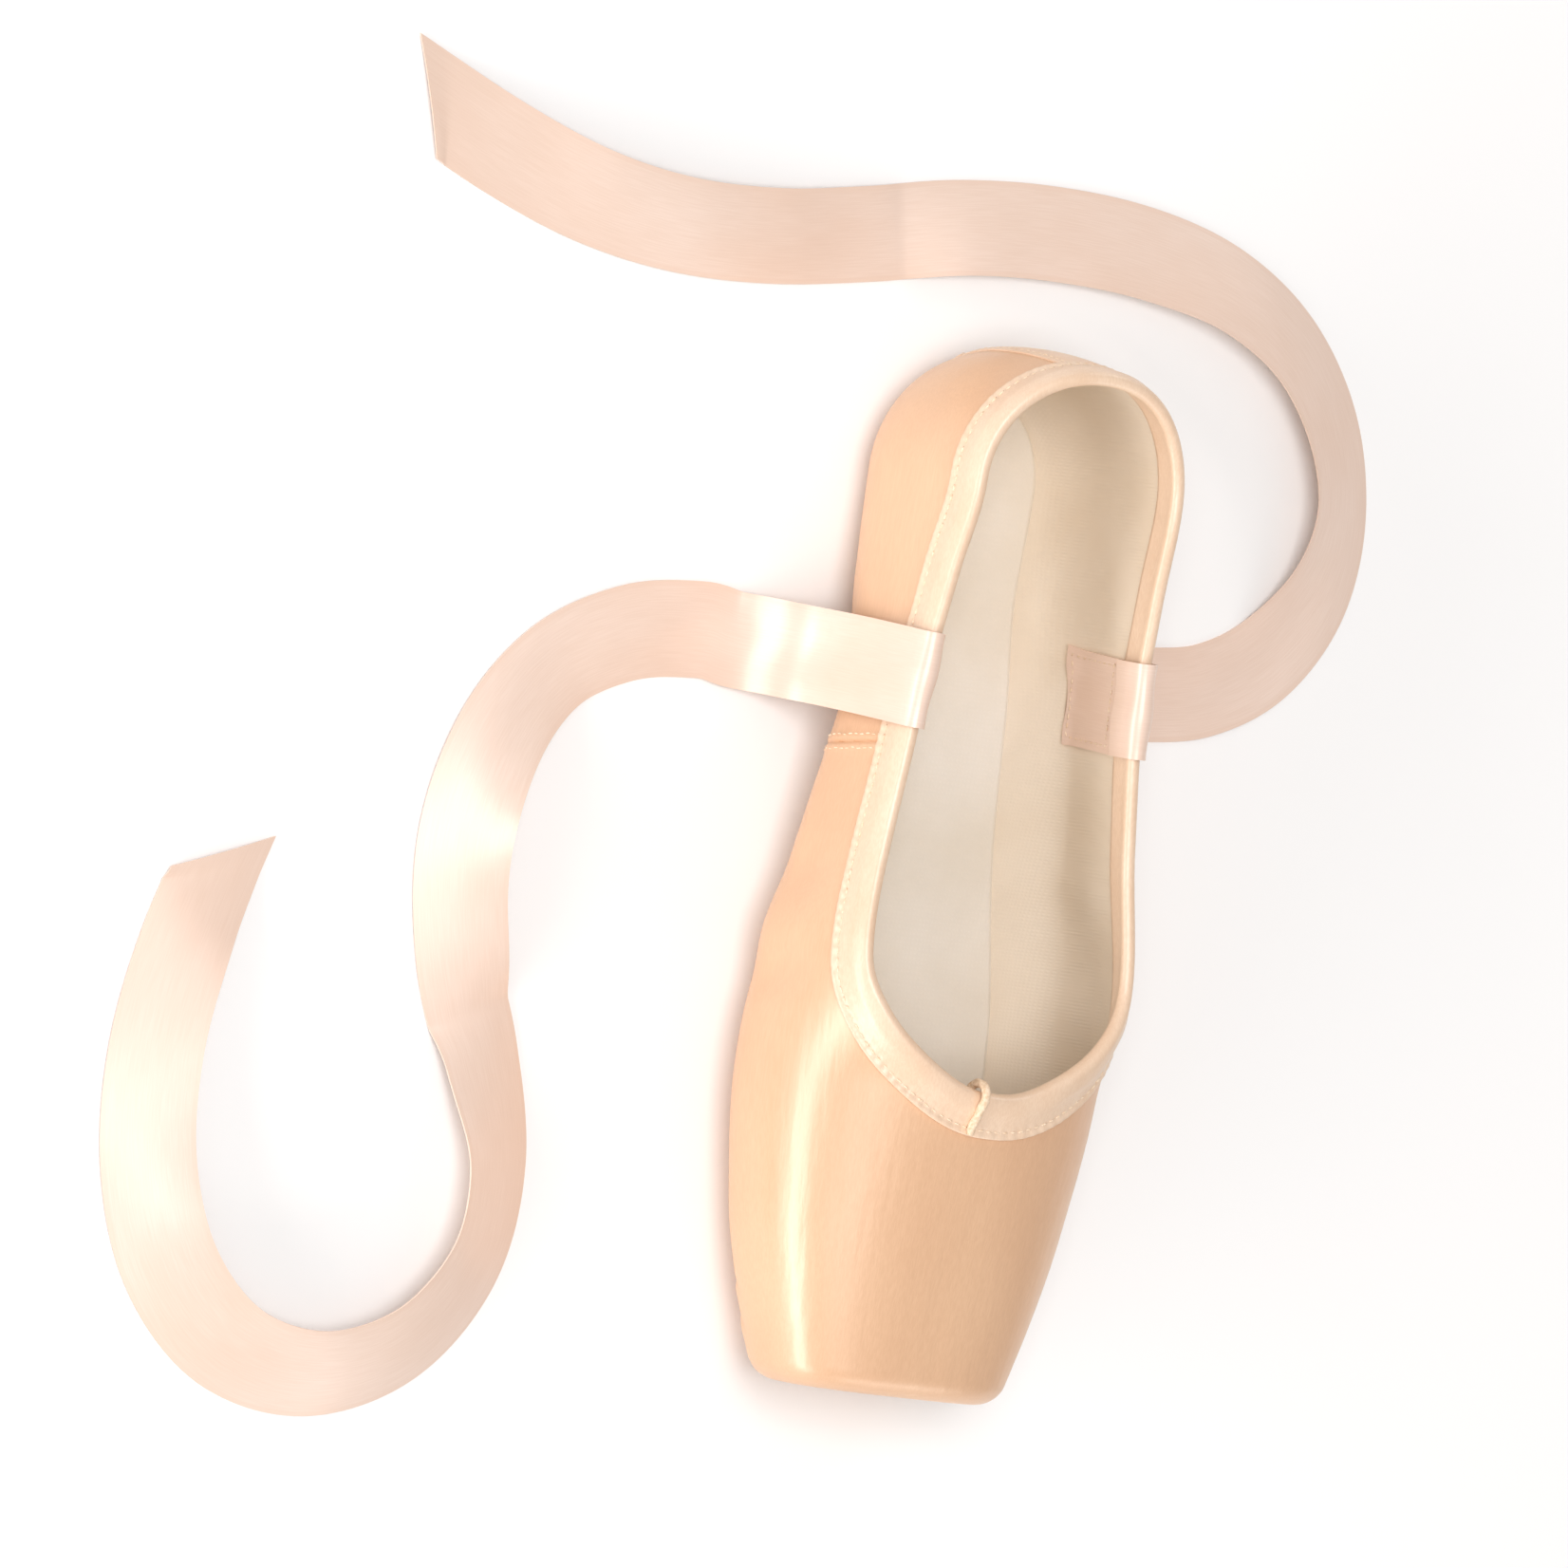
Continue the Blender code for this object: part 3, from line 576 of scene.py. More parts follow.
@dataclass(frozen=True)
class Satin(Finish):
    """Duchess satin, a warp-faced weave: long floats of smooth thread give a broad soft gloss."""

    thread: float = 0.36
    float_length: float = 5.0
    relief: float = 0.022
    shade: str = "C4946A"
    along_uv: bool = False
    selvage: float = 0.0
    # Colour of painted shade, laid in the pleats' valleys and the seams' grooves by the piece's fold
    # attribute.
    fold: str = ""
    ripple: float = 0.0
    pull: tuple = (2.6, 60.0, 2.6)

    def material(self) -> bpy.types.Material:
        """Its material, with threads drawn wider than the real 0.1 mm so that they show.

        Returns:
            The material.
        """
        material, tree, shader, place = self.blank()
        if self.along_uv:
            place = add(tree, "ShaderNodeUVMap", uv_map="strip").outputs[0]
            tangent = add(tree, "ShaderNodeTangent", direction_type="UV_MAP", uv_map="strip")
            across, along = (self.thread, self.float_length, 1.0), (self.mottle, self.mottle * 2, 1.0)
        else:
            tangent = add(tree, "ShaderNodeTangent", direction_type="RADIAL", axis="Y")
            across = (self.thread, self.float_length, self.thread)
            along = (self.mottle, self.mottle * 2, self.mottle)
        patches = self.noise(tree, place, along)
        threads = self.noise(tree, place, across, 2.0)
        colour = self.clouded(tree, patches, 0.3, 0.7)
        colour = self.mixed(tree, self.ranged(tree, threads, 0.36, 0.62, 0.0, 0.20), colour,
                            linear(self.shade))
        # Painted shade: the fold colour darkens the pleat valleys and seam grooves where the fold attribute
        # is high.
        if self.fold:
            colour = self.mixed(tree, self.attribute(tree, "fold"), colour, linear(self.fold))
        if self.selvage:
            side = add(tree, "ShaderNodeSeparateXYZ", {0: place}).outputs[0]
            side = add(tree, "ShaderNodeMath", {0: side}, operation="ABSOLUTE").outputs[0]
            edge = self.ranged(tree, side, (self.selvage - 0.15) * MM, self.selvage * MM, 0.0, 0.45)
            colour = self.mixed(tree, edge, colour, linear(self.deep))
        tree.links.new(colour, shader.inputs["Base Color"])
        rough = self.ranged(tree, patches, 0.3, 0.7, self.roughness + 0.03, self.roughness - 0.03)
        tree.links.new(rough, shader.inputs["Roughness"])
        values = {"Height": threads, "Strength": 0.8, "Distance": self.relief * MM}
        if self.ripple:
            pulls = self.noise(tree, place, self.pull, 1.0)
            values["Normal"] = add(tree, "ShaderNodeBump", {
                "Height": pulls, "Strength": 1.0, "Distance": self.ripple * MM}).outputs[0]
        bump = add(tree, "ShaderNodeBump", values)
        tree.links.new(bump.outputs[0], shader.inputs["Normal"])
        tree.links.new(tangent.outputs[0], shader.inputs["Tangent"])
        return material


@dataclass(frozen=True)
class Leather(Finish):
    """Vegetable-tanned split leather, rolled smooth: fine grain, cloudy tan and a burnished rim."""

    grain: float = 0.7
    relief: float = 0.05
    groove: str = "8E5D40"
    rim: str = "A86F48"

    def material(self) -> bpy.types.Material:
        """Its material, with the scored lines and the burnished rim from the piece's attributes.

        Returns:
            The material.
        """
        material, tree, shader, place = self.blank()
        clouds = self.noise(tree, place, (self.mottle,) * 3, 5.0)
        fibres = self.noise(tree, place, (self.grain,) * 3, 6.0)
        colour = self.clouded(tree, clouds, 0.32, 0.68)
        colour = self.mixed(tree, self.ranged(tree, fibres, 0.4, 0.75, 0.0, 0.30), colour, linear(self.rim))
        colour = self.mixed(tree, self.attribute(tree, "groove"), colour, linear(self.groove))
        colour = self.mixed(tree, self.attribute(tree, "rim"), colour, linear(self.rim))
        tree.links.new(colour, shader.inputs["Base Color"])
        rough = self.ranged(tree, fibres, 0.3, 0.7, self.roughness - 0.08, self.roughness + 0.08)
        tree.links.new(rough, shader.inputs["Roughness"])
        bump = add(tree, "ShaderNodeBump", {"Height": fibres, "Strength": 0.8,
                                            "Distance": self.relief * MM})
        tree.links.new(bump.outputs[0], shader.inputs["Normal"])
        return material


@dataclass(frozen=True)
class Cotton(Finish):
    """Plain-woven cotton: matt, with the crossing threads just visible."""

    thread: float = 0.9
    relief: float = 0.06

    def material(self) -> bpy.types.Material:
        """Its material, with a plain weave drawn coarser than the real 0.4 mm so that it shows.

        Returns:
            The material.
        """
        material, tree, shader, place = self.blank()
        waves = [add(tree, "ShaderNodeTexWave", {"Vector": place, "Scale": 0.314 / (self.thread * MM),
                                                 "Distortion": 0.4, "Detail": 1.0},
                     bands_direction=axis).outputs["Fac"] for axis in ("X", "Y")]
        weave = add(tree, "ShaderNodeMath", {0: waves[0], 1: waves[1]}, operation="MULTIPLY").outputs[0]
        clouds = self.noise(tree, place, (self.mottle,) * 3, 4.0)
        colour = self.clouded(tree, clouds, 0.3, 0.7)
        colour = self.mixed(tree, self.ranged(tree, weave, 0.0, 1.0, 0.18, 0.0), colour, linear(self.deep))
        tree.links.new(colour, shader.inputs["Base Color"])
        shader.inputs["Roughness"].default_value = self.roughness
        bump = add(tree, "ShaderNodeBump", {"Height": weave, "Strength": 0.7,
                                            "Distance": self.relief * MM})
        tree.links.new(bump.outputs[0], shader.inputs["Normal"])
        return material


@dataclass(frozen=True)
class Thread(Finish):
    """Twisted polyester thread or cord: fine slanting plies."""

    ply: float = 0.5

    def material(self) -> bpy.types.Material:
        """Its material, with plies as fine noise.

        Returns:
            The material.
        """
        material, tree, shader, place = self.blank()
        plies = self.noise(tree, place, (self.ply,) * 3, 2.0)
        colour = self.clouded(tree, plies, 0.35, 0.65)
        tree.links.new(colour, shader.inputs["Base Color"])
        shader.inputs["Roughness"].default_value = self.roughness
        bump = add(tree, "ShaderNodeBump", {"Height": plies, "Strength": 0.6, "Distance": 0.05 * MM})
        tree.links.new(bump.outputs[0], shader.inputs["Normal"])
        return material


class Finishes:
    """Every finish of the shoe, made once."""

    def __init__(self) -> None:
        """Make the materials."""
        # The satin's fold colour C9792C is painted shade for its pleat valleys and seam grooves.
        self.satin = Satin("duchess_satin", "E4B892", "DBAC86", 0.38, 30.0, anisotropy=0.35,
                           specular=1.0, ior=1.75, turned=0.25, gloss="FFF5EC", fold="C9792C",
                           ripple=0.12).material()
        self.tape = Satin("satin_bias_tape", "EED2B8", "E7C6A9", 0.36, 12.0, specular=0.9,
                          thread=0.4, float_length=1.4, relief=0.035, shade="CFA580").material()
        self.ribbon = Satin("satin_ribbon", "F5DED0", "EBCDBA", 0.34, 40.0, anisotropy=0.4,
                            specular=0.9, lustre=0.05, thread=0.28, float_length=9.0, relief=0.012,
                            along_uv=True, selvage=9.9, shade="DDBBA4").material()
        self.leather = Leather("split_leather", "D49E77", "C68A63", 0.58, 14.0).material()
        self.sock = Cotton("cotton_sock_lining", "F3EBE0", "E8DDCD", 0.9, 30.0, thread=1.1).material()
        self.drill = Cotton("cotton_drill_lining", "F0E2D0", "E6D5BF", 0.9, 30.0, thread=0.8).material()
        self.cord = Thread("cotton_cord", "F0D8BE", "DDBE9C", 0.75, ply=0.7).material()
        self.seam_thread = Thread("seam_thread", "F8E4CC", "EBCDAC", 0.5).material()
        self.sole_thread = Thread("sole_thread", "E2D0C0", "C9B29E", 0.6).material()


# Stitches


def stitch_tree() -> bpy.types.GeometryNodeTree:
    """Nodes that lay stitches along the edges of a mesh.

    Returns:
        The node group, with named inputs.
    """
    tree = bpy.data.node_groups.new("Stitches", "GeometryNodeTree")
    sockets = (("Rows", "INPUT", "NodeSocketGeometry", None),
               ("Pitch", "INPUT", "NodeSocketFloat", 2.2 * MM),
               ("Length", "INPUT", "NodeSocketFloat", 1.6 * MM),
               ("Thickness", "INPUT", "NodeSocketFloat", 0.4 * MM),
               ("Slant", "INPUT", "NodeSocketFloat", 0.0), ("Unevenness", "INPUT", "NodeSocketFloat", 0.12),
               ("Seed", "INPUT", "NodeSocketInt", 7), ("Thread", "INPUT", "NodeSocketMaterial", None),
               ("Stitches", "OUTPUT", "NodeSocketGeometry", None))
    for name, way, kind, value in sockets:
        socket = tree.interface.new_socket(name, in_out=way, socket_type=kind)
        if value is not None:
            socket.default_value = value
    given = add(tree, "NodeGroupInput").outputs
    curve = add(tree, "GeometryNodeMeshToCurve", {"Mesh": given["Rows"]}).outputs[0]
    points = add(tree, "GeometryNodeResampleCurve", {"Curve": curve, "Length": given["Pitch"]},
                 mode="LENGTH").outputs[0]
    ball = add(tree, "GeometryNodeMeshUVSphere", {"Segments": 6, "Rings": 5, "Radius": 0.5}).outputs["Mesh"]
    size = add(tree, "ShaderNodeCombineXYZ", {"X": given["Length"], "Y": given["Thickness"],
                                              "Z": given["Thickness"]}).outputs[0]
    stitch = add(tree, "GeometryNodeTransform", {"Geometry": ball, "Scale": size}).outputs[0]
    tangent = add(tree, "GeometryNodeInputTangent").outputs[0]
    normal = add(tree, "GeometryNodeInputNamedAttribute", {"Name": "row_normal"},
                 data_type="FLOAT_VECTOR").outputs[0]
    facing = add(tree, "FunctionNodeAxesToRotation", {"Primary Axis": normal, "Secondary Axis": tangent},
                 primary_axis="Z", secondary_axis="X").outputs[0]
    away = add(tree, "ShaderNodeMath", {0: given["Unevenness"], 1: -1.0}, operation="MULTIPLY").outputs[0]
    wobble = add(tree, "FunctionNodeRandomValue", {2: away, 3: given["Unevenness"], "Seed": given["Seed"]},
                 data_type="FLOAT").outputs[1]
    turn = add(tree, "ShaderNodeMath", {0: wobble, 1: given["Slant"]}, operation="ADD").outputs[0]
    twist = add(tree, "ShaderNodeCombineXYZ", {"Z": turn}).outputs[0]
    turned = add(tree, "FunctionNodeRotateRotation", {"Rotation": facing, "Rotate By": twist},
                 rotation_space="LOCAL").outputs[0]
    grown = add(tree, "ShaderNodeMath", {0: wobble, 1: 1.0}, operation="ADD").outputs[0]
    laid = add(tree, "GeometryNodeInstanceOnPoints", {"Points": points, "Instance": stitch,
                                                      "Rotation": turned, "Scale": grown}).outputs[0]
    real = add(tree, "GeometryNodeRealizeInstances", {"Geometry": laid}).outputs[0]
    smooth = add(tree, "GeometryNodeSetShadeSmooth", {"Geometry": real}).outputs[0]
    done = add(tree, "GeometryNodeSetMaterial", {"Geometry": smooth, "Material": given["Thread"]}).outputs[0]
    add(tree, "NodeGroupOutput", {"Stitches": done})
    return tree


@dataclass
class StitchRows:
    """Rows of stitches of one kind, laid along lines on the shoe."""

    tree: bpy.types.GeometryNodeTree
    name: str
    thread: bpy.types.Material
    pitch: float = 2.3 * MM
    length: float = 1.7 * MM
    thickness: float = 0.42 * MM
    slant: float = 0.0
    unevenness: float = 0.10
    seed: int = 7
    lines: list = field(default_factory=list)

    def add_line(self, points: np.ndarray, normals: np.ndarray) -> None:
        """Add a row along points, with the way that the surface faces at each."""
        self.lines.append((np.asarray(points, float), unit(np.asarray(normals, float))))

    def build(self, slot: Slot) -> bpy.types.Object:
        """All rows as one plain mesh that rides on the shoe.

        Args:
            slot: Slot of the record.

        Returns:
            The stitches as one piece.
        """
        points = np.concatenate([line for line, _ in self.lines])
        normals = np.concatenate([facing for _, facing in self.lines])
        edges, first = [], 0
        for line, _ in self.lines:
            edges += [(first + i, first + i + 1) for i in range(len(line) - 1)]
            first += len(line)
        mesh = bpy.data.meshes.new(self.name)
        mesh.from_pydata(points.tolist(), edges, [])
        layer = mesh.attributes.new("row_normal", "FLOAT_VECTOR", "POINT")
        layer.data.foreach_set("vector", normals.astype(np.float32).ravel())
        item = link(self.name, mesh)
        values = {"Pitch": self.pitch, "Length": self.length, "Thickness": self.thickness,
                  "Slant": self.slant, "Unevenness": self.unevenness, "Seed": self.seed,
                  "Thread": self.thread}
        apply_nodes(item, self.tree, values)
        return dressed(item, None, slot)


def apply_nodes(item: bpy.types.Object, tree: bpy.types.GeometryNodeTree, values: dict) -> None:
    """Run geometry nodes on a piece and keep the result as its plain mesh.

    Args:
        item: The piece.
        tree: The nodes.
        values: Value of each input by its name.
    """
    modifier = item.modifiers.new("nodes", "NODES")
    modifier.node_group = tree
    names = {socket.name: socket.identifier for socket in tree.interface.items_tree
             if socket.in_out == "INPUT"}
    for name, value in values.items():
        modifier[names[name]] = value
    graph = bpy.context.evaluated_depsgraph_get()
    made = bpy.data.meshes.new_from_object(item.evaluated_get(graph), depsgraph=graph)
    item.modifiers.remove(modifier)
    item.data = made


def dressed(item: bpy.types.Object, material: bpy.types.Material | None, slot: Slot,
            *nodes: str) -> bpy.types.Object:
    """Give a finished piece its material and body, and let it stand for its solids.

    Args:
        item: The piece.
        material: Its material, unless the nodes have set it.
        slot: Slot of the record; not used.
        *nodes: Solids that it stands for.

    Returns:
        The same piece.
    """
    if material is not None:
        item.data.materials.clear()
        item.data.materials.append(material)
    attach(item, BODY)
    if nodes:
        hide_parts(*nodes)
    return item


# Pieces


@dataclass(frozen=True)
class Crease:
    """Soft trough, or ridge where its depth is negative, along places on one side of the upper.

    A place is a distance in mm and t, from 0 at the collar to 3 at the keel. Width and depth are in
    mm, and fade is the share of the line over which each end runs out.
    """

    side: Side
    places: tuple
    width: float
    depth: float
    fade: float = 0.35


@dataclass(frozen=True)
class Pleat:
    """Gathered pleat of the toe: where it leaves the patch, in degrees from the middle."""

    angle: float
    depth: float
    width: float
    reach: float = 1.0


@dataclass
class Upper:
    """Satin upper, closed sheet over the toe box and quarters with its pleats, creases and seams."""

    last: Last
    half_columns: int = 121
    cap_rings: int = 16
    toe_step: float = 0.36 * MM
    vamp_step: float = 1.4 * MM
    quarter_step: float = 1.7 * MM
    seam_step: float = 0.5 * MM
    throat_rows: int = 36
    heel_rows: int = 26
    sheet_share: float = 0.42
    pleat_centre: float = 56.0 * MM
    patch_front: float = 24.0 * MM
    rim_step: float = 0.6 * MM
    toe_end: float = 0.030
    seam_reach: float = 2 * MM
    keel_seam: tuple = (112, 196)
    junction: float = 140.0
    seam_collar: float = 148.0
    pleats: tuple = (
        Pleat(-43, 0.8, 1.9, 0.7), Pleat(-36, 1.1, 2.2), Pleat(-29, 1.3, 2.4), Pleat(-21.5, 1.0, 2.2, 0.9),
        Pleat(-4, 0.45, 2.2, 0.5), Pleat(3, 1.0, 1.6, 0.9), Pleat(8.5, 1.5, 1.7), Pleat(14, 1.7, 1.6),
        Pleat(19.5, 1.2, 1.7), Pleat(25.5, 1.3, 1.7), Pleat(32, 1.0, 1.7, 0.9), Pleat(39, 0.8, 1.7, 0.7),
        Pleat(46, 0.5, 1.6, 0.5),
    )
    creases: tuple = (
        Crease(Side.LEFT, ((92, 0.35), (93, 0.8), (90, 1.25), (86, 1.6)), 6.0, 1.5, 0.5),
        Crease(Side.LEFT, ((101, 0.25), (103, 0.7), (101, 1.2), (97, 1.6)), 7.0, -0.9, 0.5),
        Crease(Side.LEFT, ((114, 0.2), (117, 0.6), (116, 1.1), (112, 1.6)), 6.0, 1.0, 0.5),
        Crease(Side.RIGHT, ((90, 0.4), (91, 0.8), (89, 1.2), (85, 1.6)), 6.0, 1.1, 0.5),
        Crease(Side.RIGHT, ((100, 0.3), (102, 0.7), (100, 1.2)), 7.0, -0.6, 0.5),
        Crease(Side.RIGHT, ((118, 0.3), (121, 0.8), (119, 1.4)), 5.5, 0.9),
        Crease(Side.LEFT, ((141, 2.4), (152, 1.7), (166, 1.2), (180, 0.95)), 4.0, 1.0),
        Crease(Side.RIGHT, ((141, 2.4), (153, 1.75), (168, 1.25), (182, 1.0)), 4.0, 1.0),
        Crease(Side.LEFT, ((150, 2.5), (165, 2.0), (180, 1.7), (196, 1.6)), 3.6, 1.2),
        Crease(Side.RIGHT, ((150, 2.5), (165, 2.05), (180, 1.75), (196, 1.65)), 3.6, 1.2),
        Crease(Side.LEFT, ((158, 2.6), (172, 2.35), (186, 2.1)), 3.0, -0.8),
        Crease(Side.RIGHT, ((158, 2.6), (172, 2.35), (186, 2.1)), 3.0, -0.8),
        Crease(Side.LEFT, ((128, 2.4), (122, 1.9), (113, 1.5)), 3.8, 0.6),
        Crease(Side.RIGHT, ((128, 2.4), (121, 1.9), (112, 1.5)), 3.8, 0.6),
        Crease(Side.LEFT, ((170, 0.3), (182, 0.55), (196, 0.7)), 4.5, 0.5),
        Crease(Side.RIGHT, ((174, 0.3), (186, 0.6), (199, 0.75)), 4.5, 0.5),
    )

    def rows(self) -> list[tuple[float, float]]:
        """Distance and turn of every row, an even number up to each place where the form changes.

        Returns:
            One pair for each row.
        """
        last = self.last
        turns = np.arange(10) / 10 * math.pi / 2
        rows = [(last.rounding * (1 - math.cos(turn)), 0.0) for turn in turns]
        steps = ((last.rounding, self.toe_end, self.toe_step),
                 (self.toe_end, last.vamp_length, self.vamp_step))
        for start, end, step in steps:
            count = 2 * round((end - start) / step / 2)
            rows += [(start + (end - start) * i / count, 0.0) for i in range(count)]
        opened = np.arange(self.throat_rows) / self.throat_rows
        rows += [(last.vamp_length + last.throat_length * share ** 2.2, 0.0) for share in opened]
        start, seam = last.vamp_length + last.throat_length, self.junction * MM
        near, far = seam - self.seam_reach, self.seam_collar * MM + self.seam_reach
        steps = ((start, near, self.quarter_step), (near, far, self.seam_step),
                 (far, last.heel_centre, self.quarter_step))
        for start, end, step in steps:
            count = 2 * round((end - start) / step / 2)
            rows += [(start + (end - start) * i / count, 0.0) for i in range(count)]
        rows.append((last.heel_centre, 0.0))
        turns = (np.arange(self.heel_rows) + 1) / self.heel_rows * math.pi / 2
        return rows + [(last.heel_centre, turn) for turn in turns]

    def shares(self) -> np.ndarray:
        """Shares of the way from the collar to the keel, closer together towards the keel."""
        left = 1 - np.linspace(0.0, 1.0, self.half_columns)
        return 1 - left * (0.48 + 0.52 * left)

    def build(self, finishes: Finishes) -> bpy.types.Object:
        """Build the satin sheet and keep what the trim needs: its skin and its rim.

        Args:
            finishes: Finishes of the shoe.

        Returns:
            The piece.
        """
        rows = self.rows()
        shares = self.shares()
        columns = 2 * self.half_columns - 1
        grid = np.empty((self.cap_rings + len(rows), columns, 3))
        for i, (distance, turn) in enumerate(rows):
            section = self.last.section(distance, turn)
            half = self.last.spread(section, shares)
            grid[self.cap_rings + i, :self.half_columns] = self.last.place(section, half, 1)
            grid[self.cap_rings + i, self.half_columns:] = self.last.place(section, half, -1)[-2::-1]
        edge = grid[self.cap_rings]
        middle = np.array([0.0, self.last.front, (edge[:, 2].max() + edge[:, 2].min()) / 2])
        for ring in range(self.cap_rings):
            grid[ring] = middle + (edge - middle) * ((ring + 0.001) / self.cap_rings) ** 0.8
        index = self.number(rows, grid)
        faces = self.faces(index)
        points = np.empty((index.max() + 1, 3))
        points[index.ravel()] = grid.reshape(-1, 3)
        skin = mesh_piece("skin", points, faces)
        base, normals = self.kept(skin)
        bend = self.bend(base)
        # fold is the share of painted shade in the seam grooves and pleat valleys.
        height, fold = self.relief(base, normals)
        faces = along_folds(faces, (bend + height) / MM + fold)
        base = base + normals * bend[:, None]
        raised = base + normals * height[:, None]
        self.wall = np.array([self.last.wall(y - self.last.front) for y in base[:, 1]])
        item = self.sheet("upper_satin", index, base, normals, raised, faces)
        # The fold attribute carries that painted shade to the satin's material.
        set_attribute(item, "fold", np.concatenate([fold, np.zeros(len(item.data.vertices) - len(fold))]))
        self.tree = BVHTree.FromPolygons([Vector(p) for p in raised], faces)
        self.keep_rim(index, raised, normals)
        self.lining_data = (index, base, normals)
        bpy.data.objects.remove(skin)
        return dressed(item, finishes.satin, Slot.SATIN, "upper")

    def number(self, rows: list, grid: np.ndarray) -> np.ndarray:
        """Number of the vertex at each place of the grid, the same where the sheet closes on itself.

        Args:
            rows: Distance and turn of each row.
            grid: Points of the grid.

        Returns:
            Vertex numbers of the grid.
        """
        height, width = grid.shape[:2]
        keel = self.half_columns - 1
        index = np.full((height, width), -1)
        count = 0
        for i in range(height):
            distance, turn = rows[max(0, i - self.cap_rings)]
            closed = i < self.cap_rings or (turn == 0.0 and distance <= self.last.vamp_length)
            for j in range(width):
                if i == 0 and j > 0:
                    index[i, j] = index[0, 0]
                elif closed and j == width - 1:
                    index[i, j] = index[i, 0]
                elif turn > 0.0 and i >= self.cap_rings and j == keel:
                    index[i, j] = index[i - 1, keel]
                elif i == height - 1 and j > keel:
                    index[i, j] = index[i, width - 1 - j]
                else:
                    index[i, j] = count
                    count += 1
        return index

    def faces(self, index: np.ndarray) -> list:
        """Faces between neighbouring places of a grid, each corner once.

        Args:
            index: Vertex numbers of the grid.

        Returns:
            Tuples of vertex numbers.
        """
        found = []
        for near, far in zip(index, index[1:]):
            for j in range(len(near) - 1):
                face = tuple(dict.fromkeys((int(near[j]), int(near[j + 1]), int(far[j + 1]), int(far[j]))))
                if len(face) > 2:
                    found.append(face)
        return found

    def kept(self, skin: bpy.types.Object) -> tuple[np.ndarray, np.ndarray]:
        """Vertices of the smooth skin and the way that it faces, outwards.

        Args:
            skin: The smooth skin.

        Returns:
            Its vertices, and the way that it faces at each.
        """
        points = vertex_points(skin)
        normals = np.empty(points.size)
        skin.data.vertex_normals.foreach_get("vector", normals)
        normals = normals.reshape(-1, 3)
        upright = np.argmax(points[:, 0])
        return points, normals if normals[upright, 0] > 0 else -normals

    def sheet(self, name: str, index: np.ndarray, base: np.ndarray, normals: np.ndarray,
              raised: np.ndarray, faces: list) -> bpy.types.Object:
        """Close the raised skin with a coarser one behind it and a strip round the rim.

        Args:
            name: Its name.
            index: Vertex numbers of the grid.
            base: Vertices without it.
            normals: Way that the skin faces at each.
            raised: Vertices with their relief.
            faces: Tuples of vertex numbers.

        Returns:
            The closed sheet.
        """
        coarse = index[::2, ::2]
        used, numbers = np.unique(coarse, return_inverse=True)
        behind = base[used] - normals[used] * (self.wall[used] * self.sheet_share)[:, None]
        numbers = numbers.reshape(coarse.shape) + len(raised)
        back = {int(front): int(number) for front, number in zip(coarse.ravel(), numbers.ravel())}
        closing = [tuple(reversed(face)) for face in self.faces(numbers)]
        rim = self.rim_numbers(index)
        for k in range(0, len(rim), 2):
            first, middle, second = rim[k], rim[k + 1], rim[(k + 2) % len(rim)]
            closing += [(first, middle, back[first]), (middle, second, back[second]),
                        (middle, back[second], back[first])]
        return mesh_piece(name, np.concatenate([raised, behind]), faces + closing)

    def rim_numbers(self, index: np.ndarray) -> list:
        """Vertices round the throat and collar, from the front of the throat down the right side."""
        start = next(i for i in range(len(index) - 1) if index[i + 1, 0] != index[i + 1, -1])
        right = [int(v) for v in index[start:, 0]]
        left = [int(v) for v in index[start + 1:-1, -1]]
        return right + left[::-1]

    def keep_rim(self, index: np.ndarray, raised: np.ndarray, normals: np.ndarray) -> None:
        """Keep the rim as evenly spaced points, with the way out, the way in and the wall.

        Args:
            index: Vertex numbers of the grid.
            raised: Vertices with their relief.
            normals: Way that the skin faces at each.
        """
        numbers = self.rim_numbers(index)
        points, facing, wall = raised[numbers], normals[numbers], self.wall[numbers]
        loop = np.concatenate([points, points[:1]])
        way = np.concatenate([[0.0], np.cumsum(np.linalg.norm(np.diff(loop, axis=0), axis=1))])
        places = np.linspace(0.0, way[-1], round(way[-1] / self.rim_step) + 1)[:-1]

        def even(values: np.ndarray) -> np.ndarray:
            """Values at even places, smoothed along the rim.

            Args:
                values: One row for each vertex of the rim.

            Returns:
                One row for each place.
            """
            ring = np.concatenate([values, values[:1]])
            found = np.stack([np.interp(places, way, ring[:, i]) for i in range(ring.shape[1])], axis=1)
            for _ in range(8):
                found = (np.roll(found, 1, 0) + 2 * found + np.roll(found, -1, 0)) / 4
            return found

        self.rim = even(points)
        self.rim_out = unit(even(facing))
        along = unit(np.roll(self.rim, -1, 0) - np.roll(self.rim, 1, 0))
        self.rim_along = along
        self.rim_in = unit(np.cross(along, self.rim_out))
        if self.rim_in[len(self.rim) // 4, 2] > 0:
            self.rim_in = -self.rim_in
        self.rim_wall = even(wall[:, None])[:, 0]

    def bend(self, points: np.ndarray) -> np.ndarray:
        """How far the whole wall stands out at each vertex, where it is creased.

        Args:
            points: Points, one a row.

        Returns:
            Height at each, negative in a trough.
        """
        height = np.zeros(len(points))
        for crease in self.creases:
            gap, share = self.nearness(points, crease)
            ends = ease(share, 0.0, crease.fade) * ease(1 - share, 0.0, crease.fade)
            height -= crease.depth * MM * bell(gap, crease.width * MM) * ends
        return height

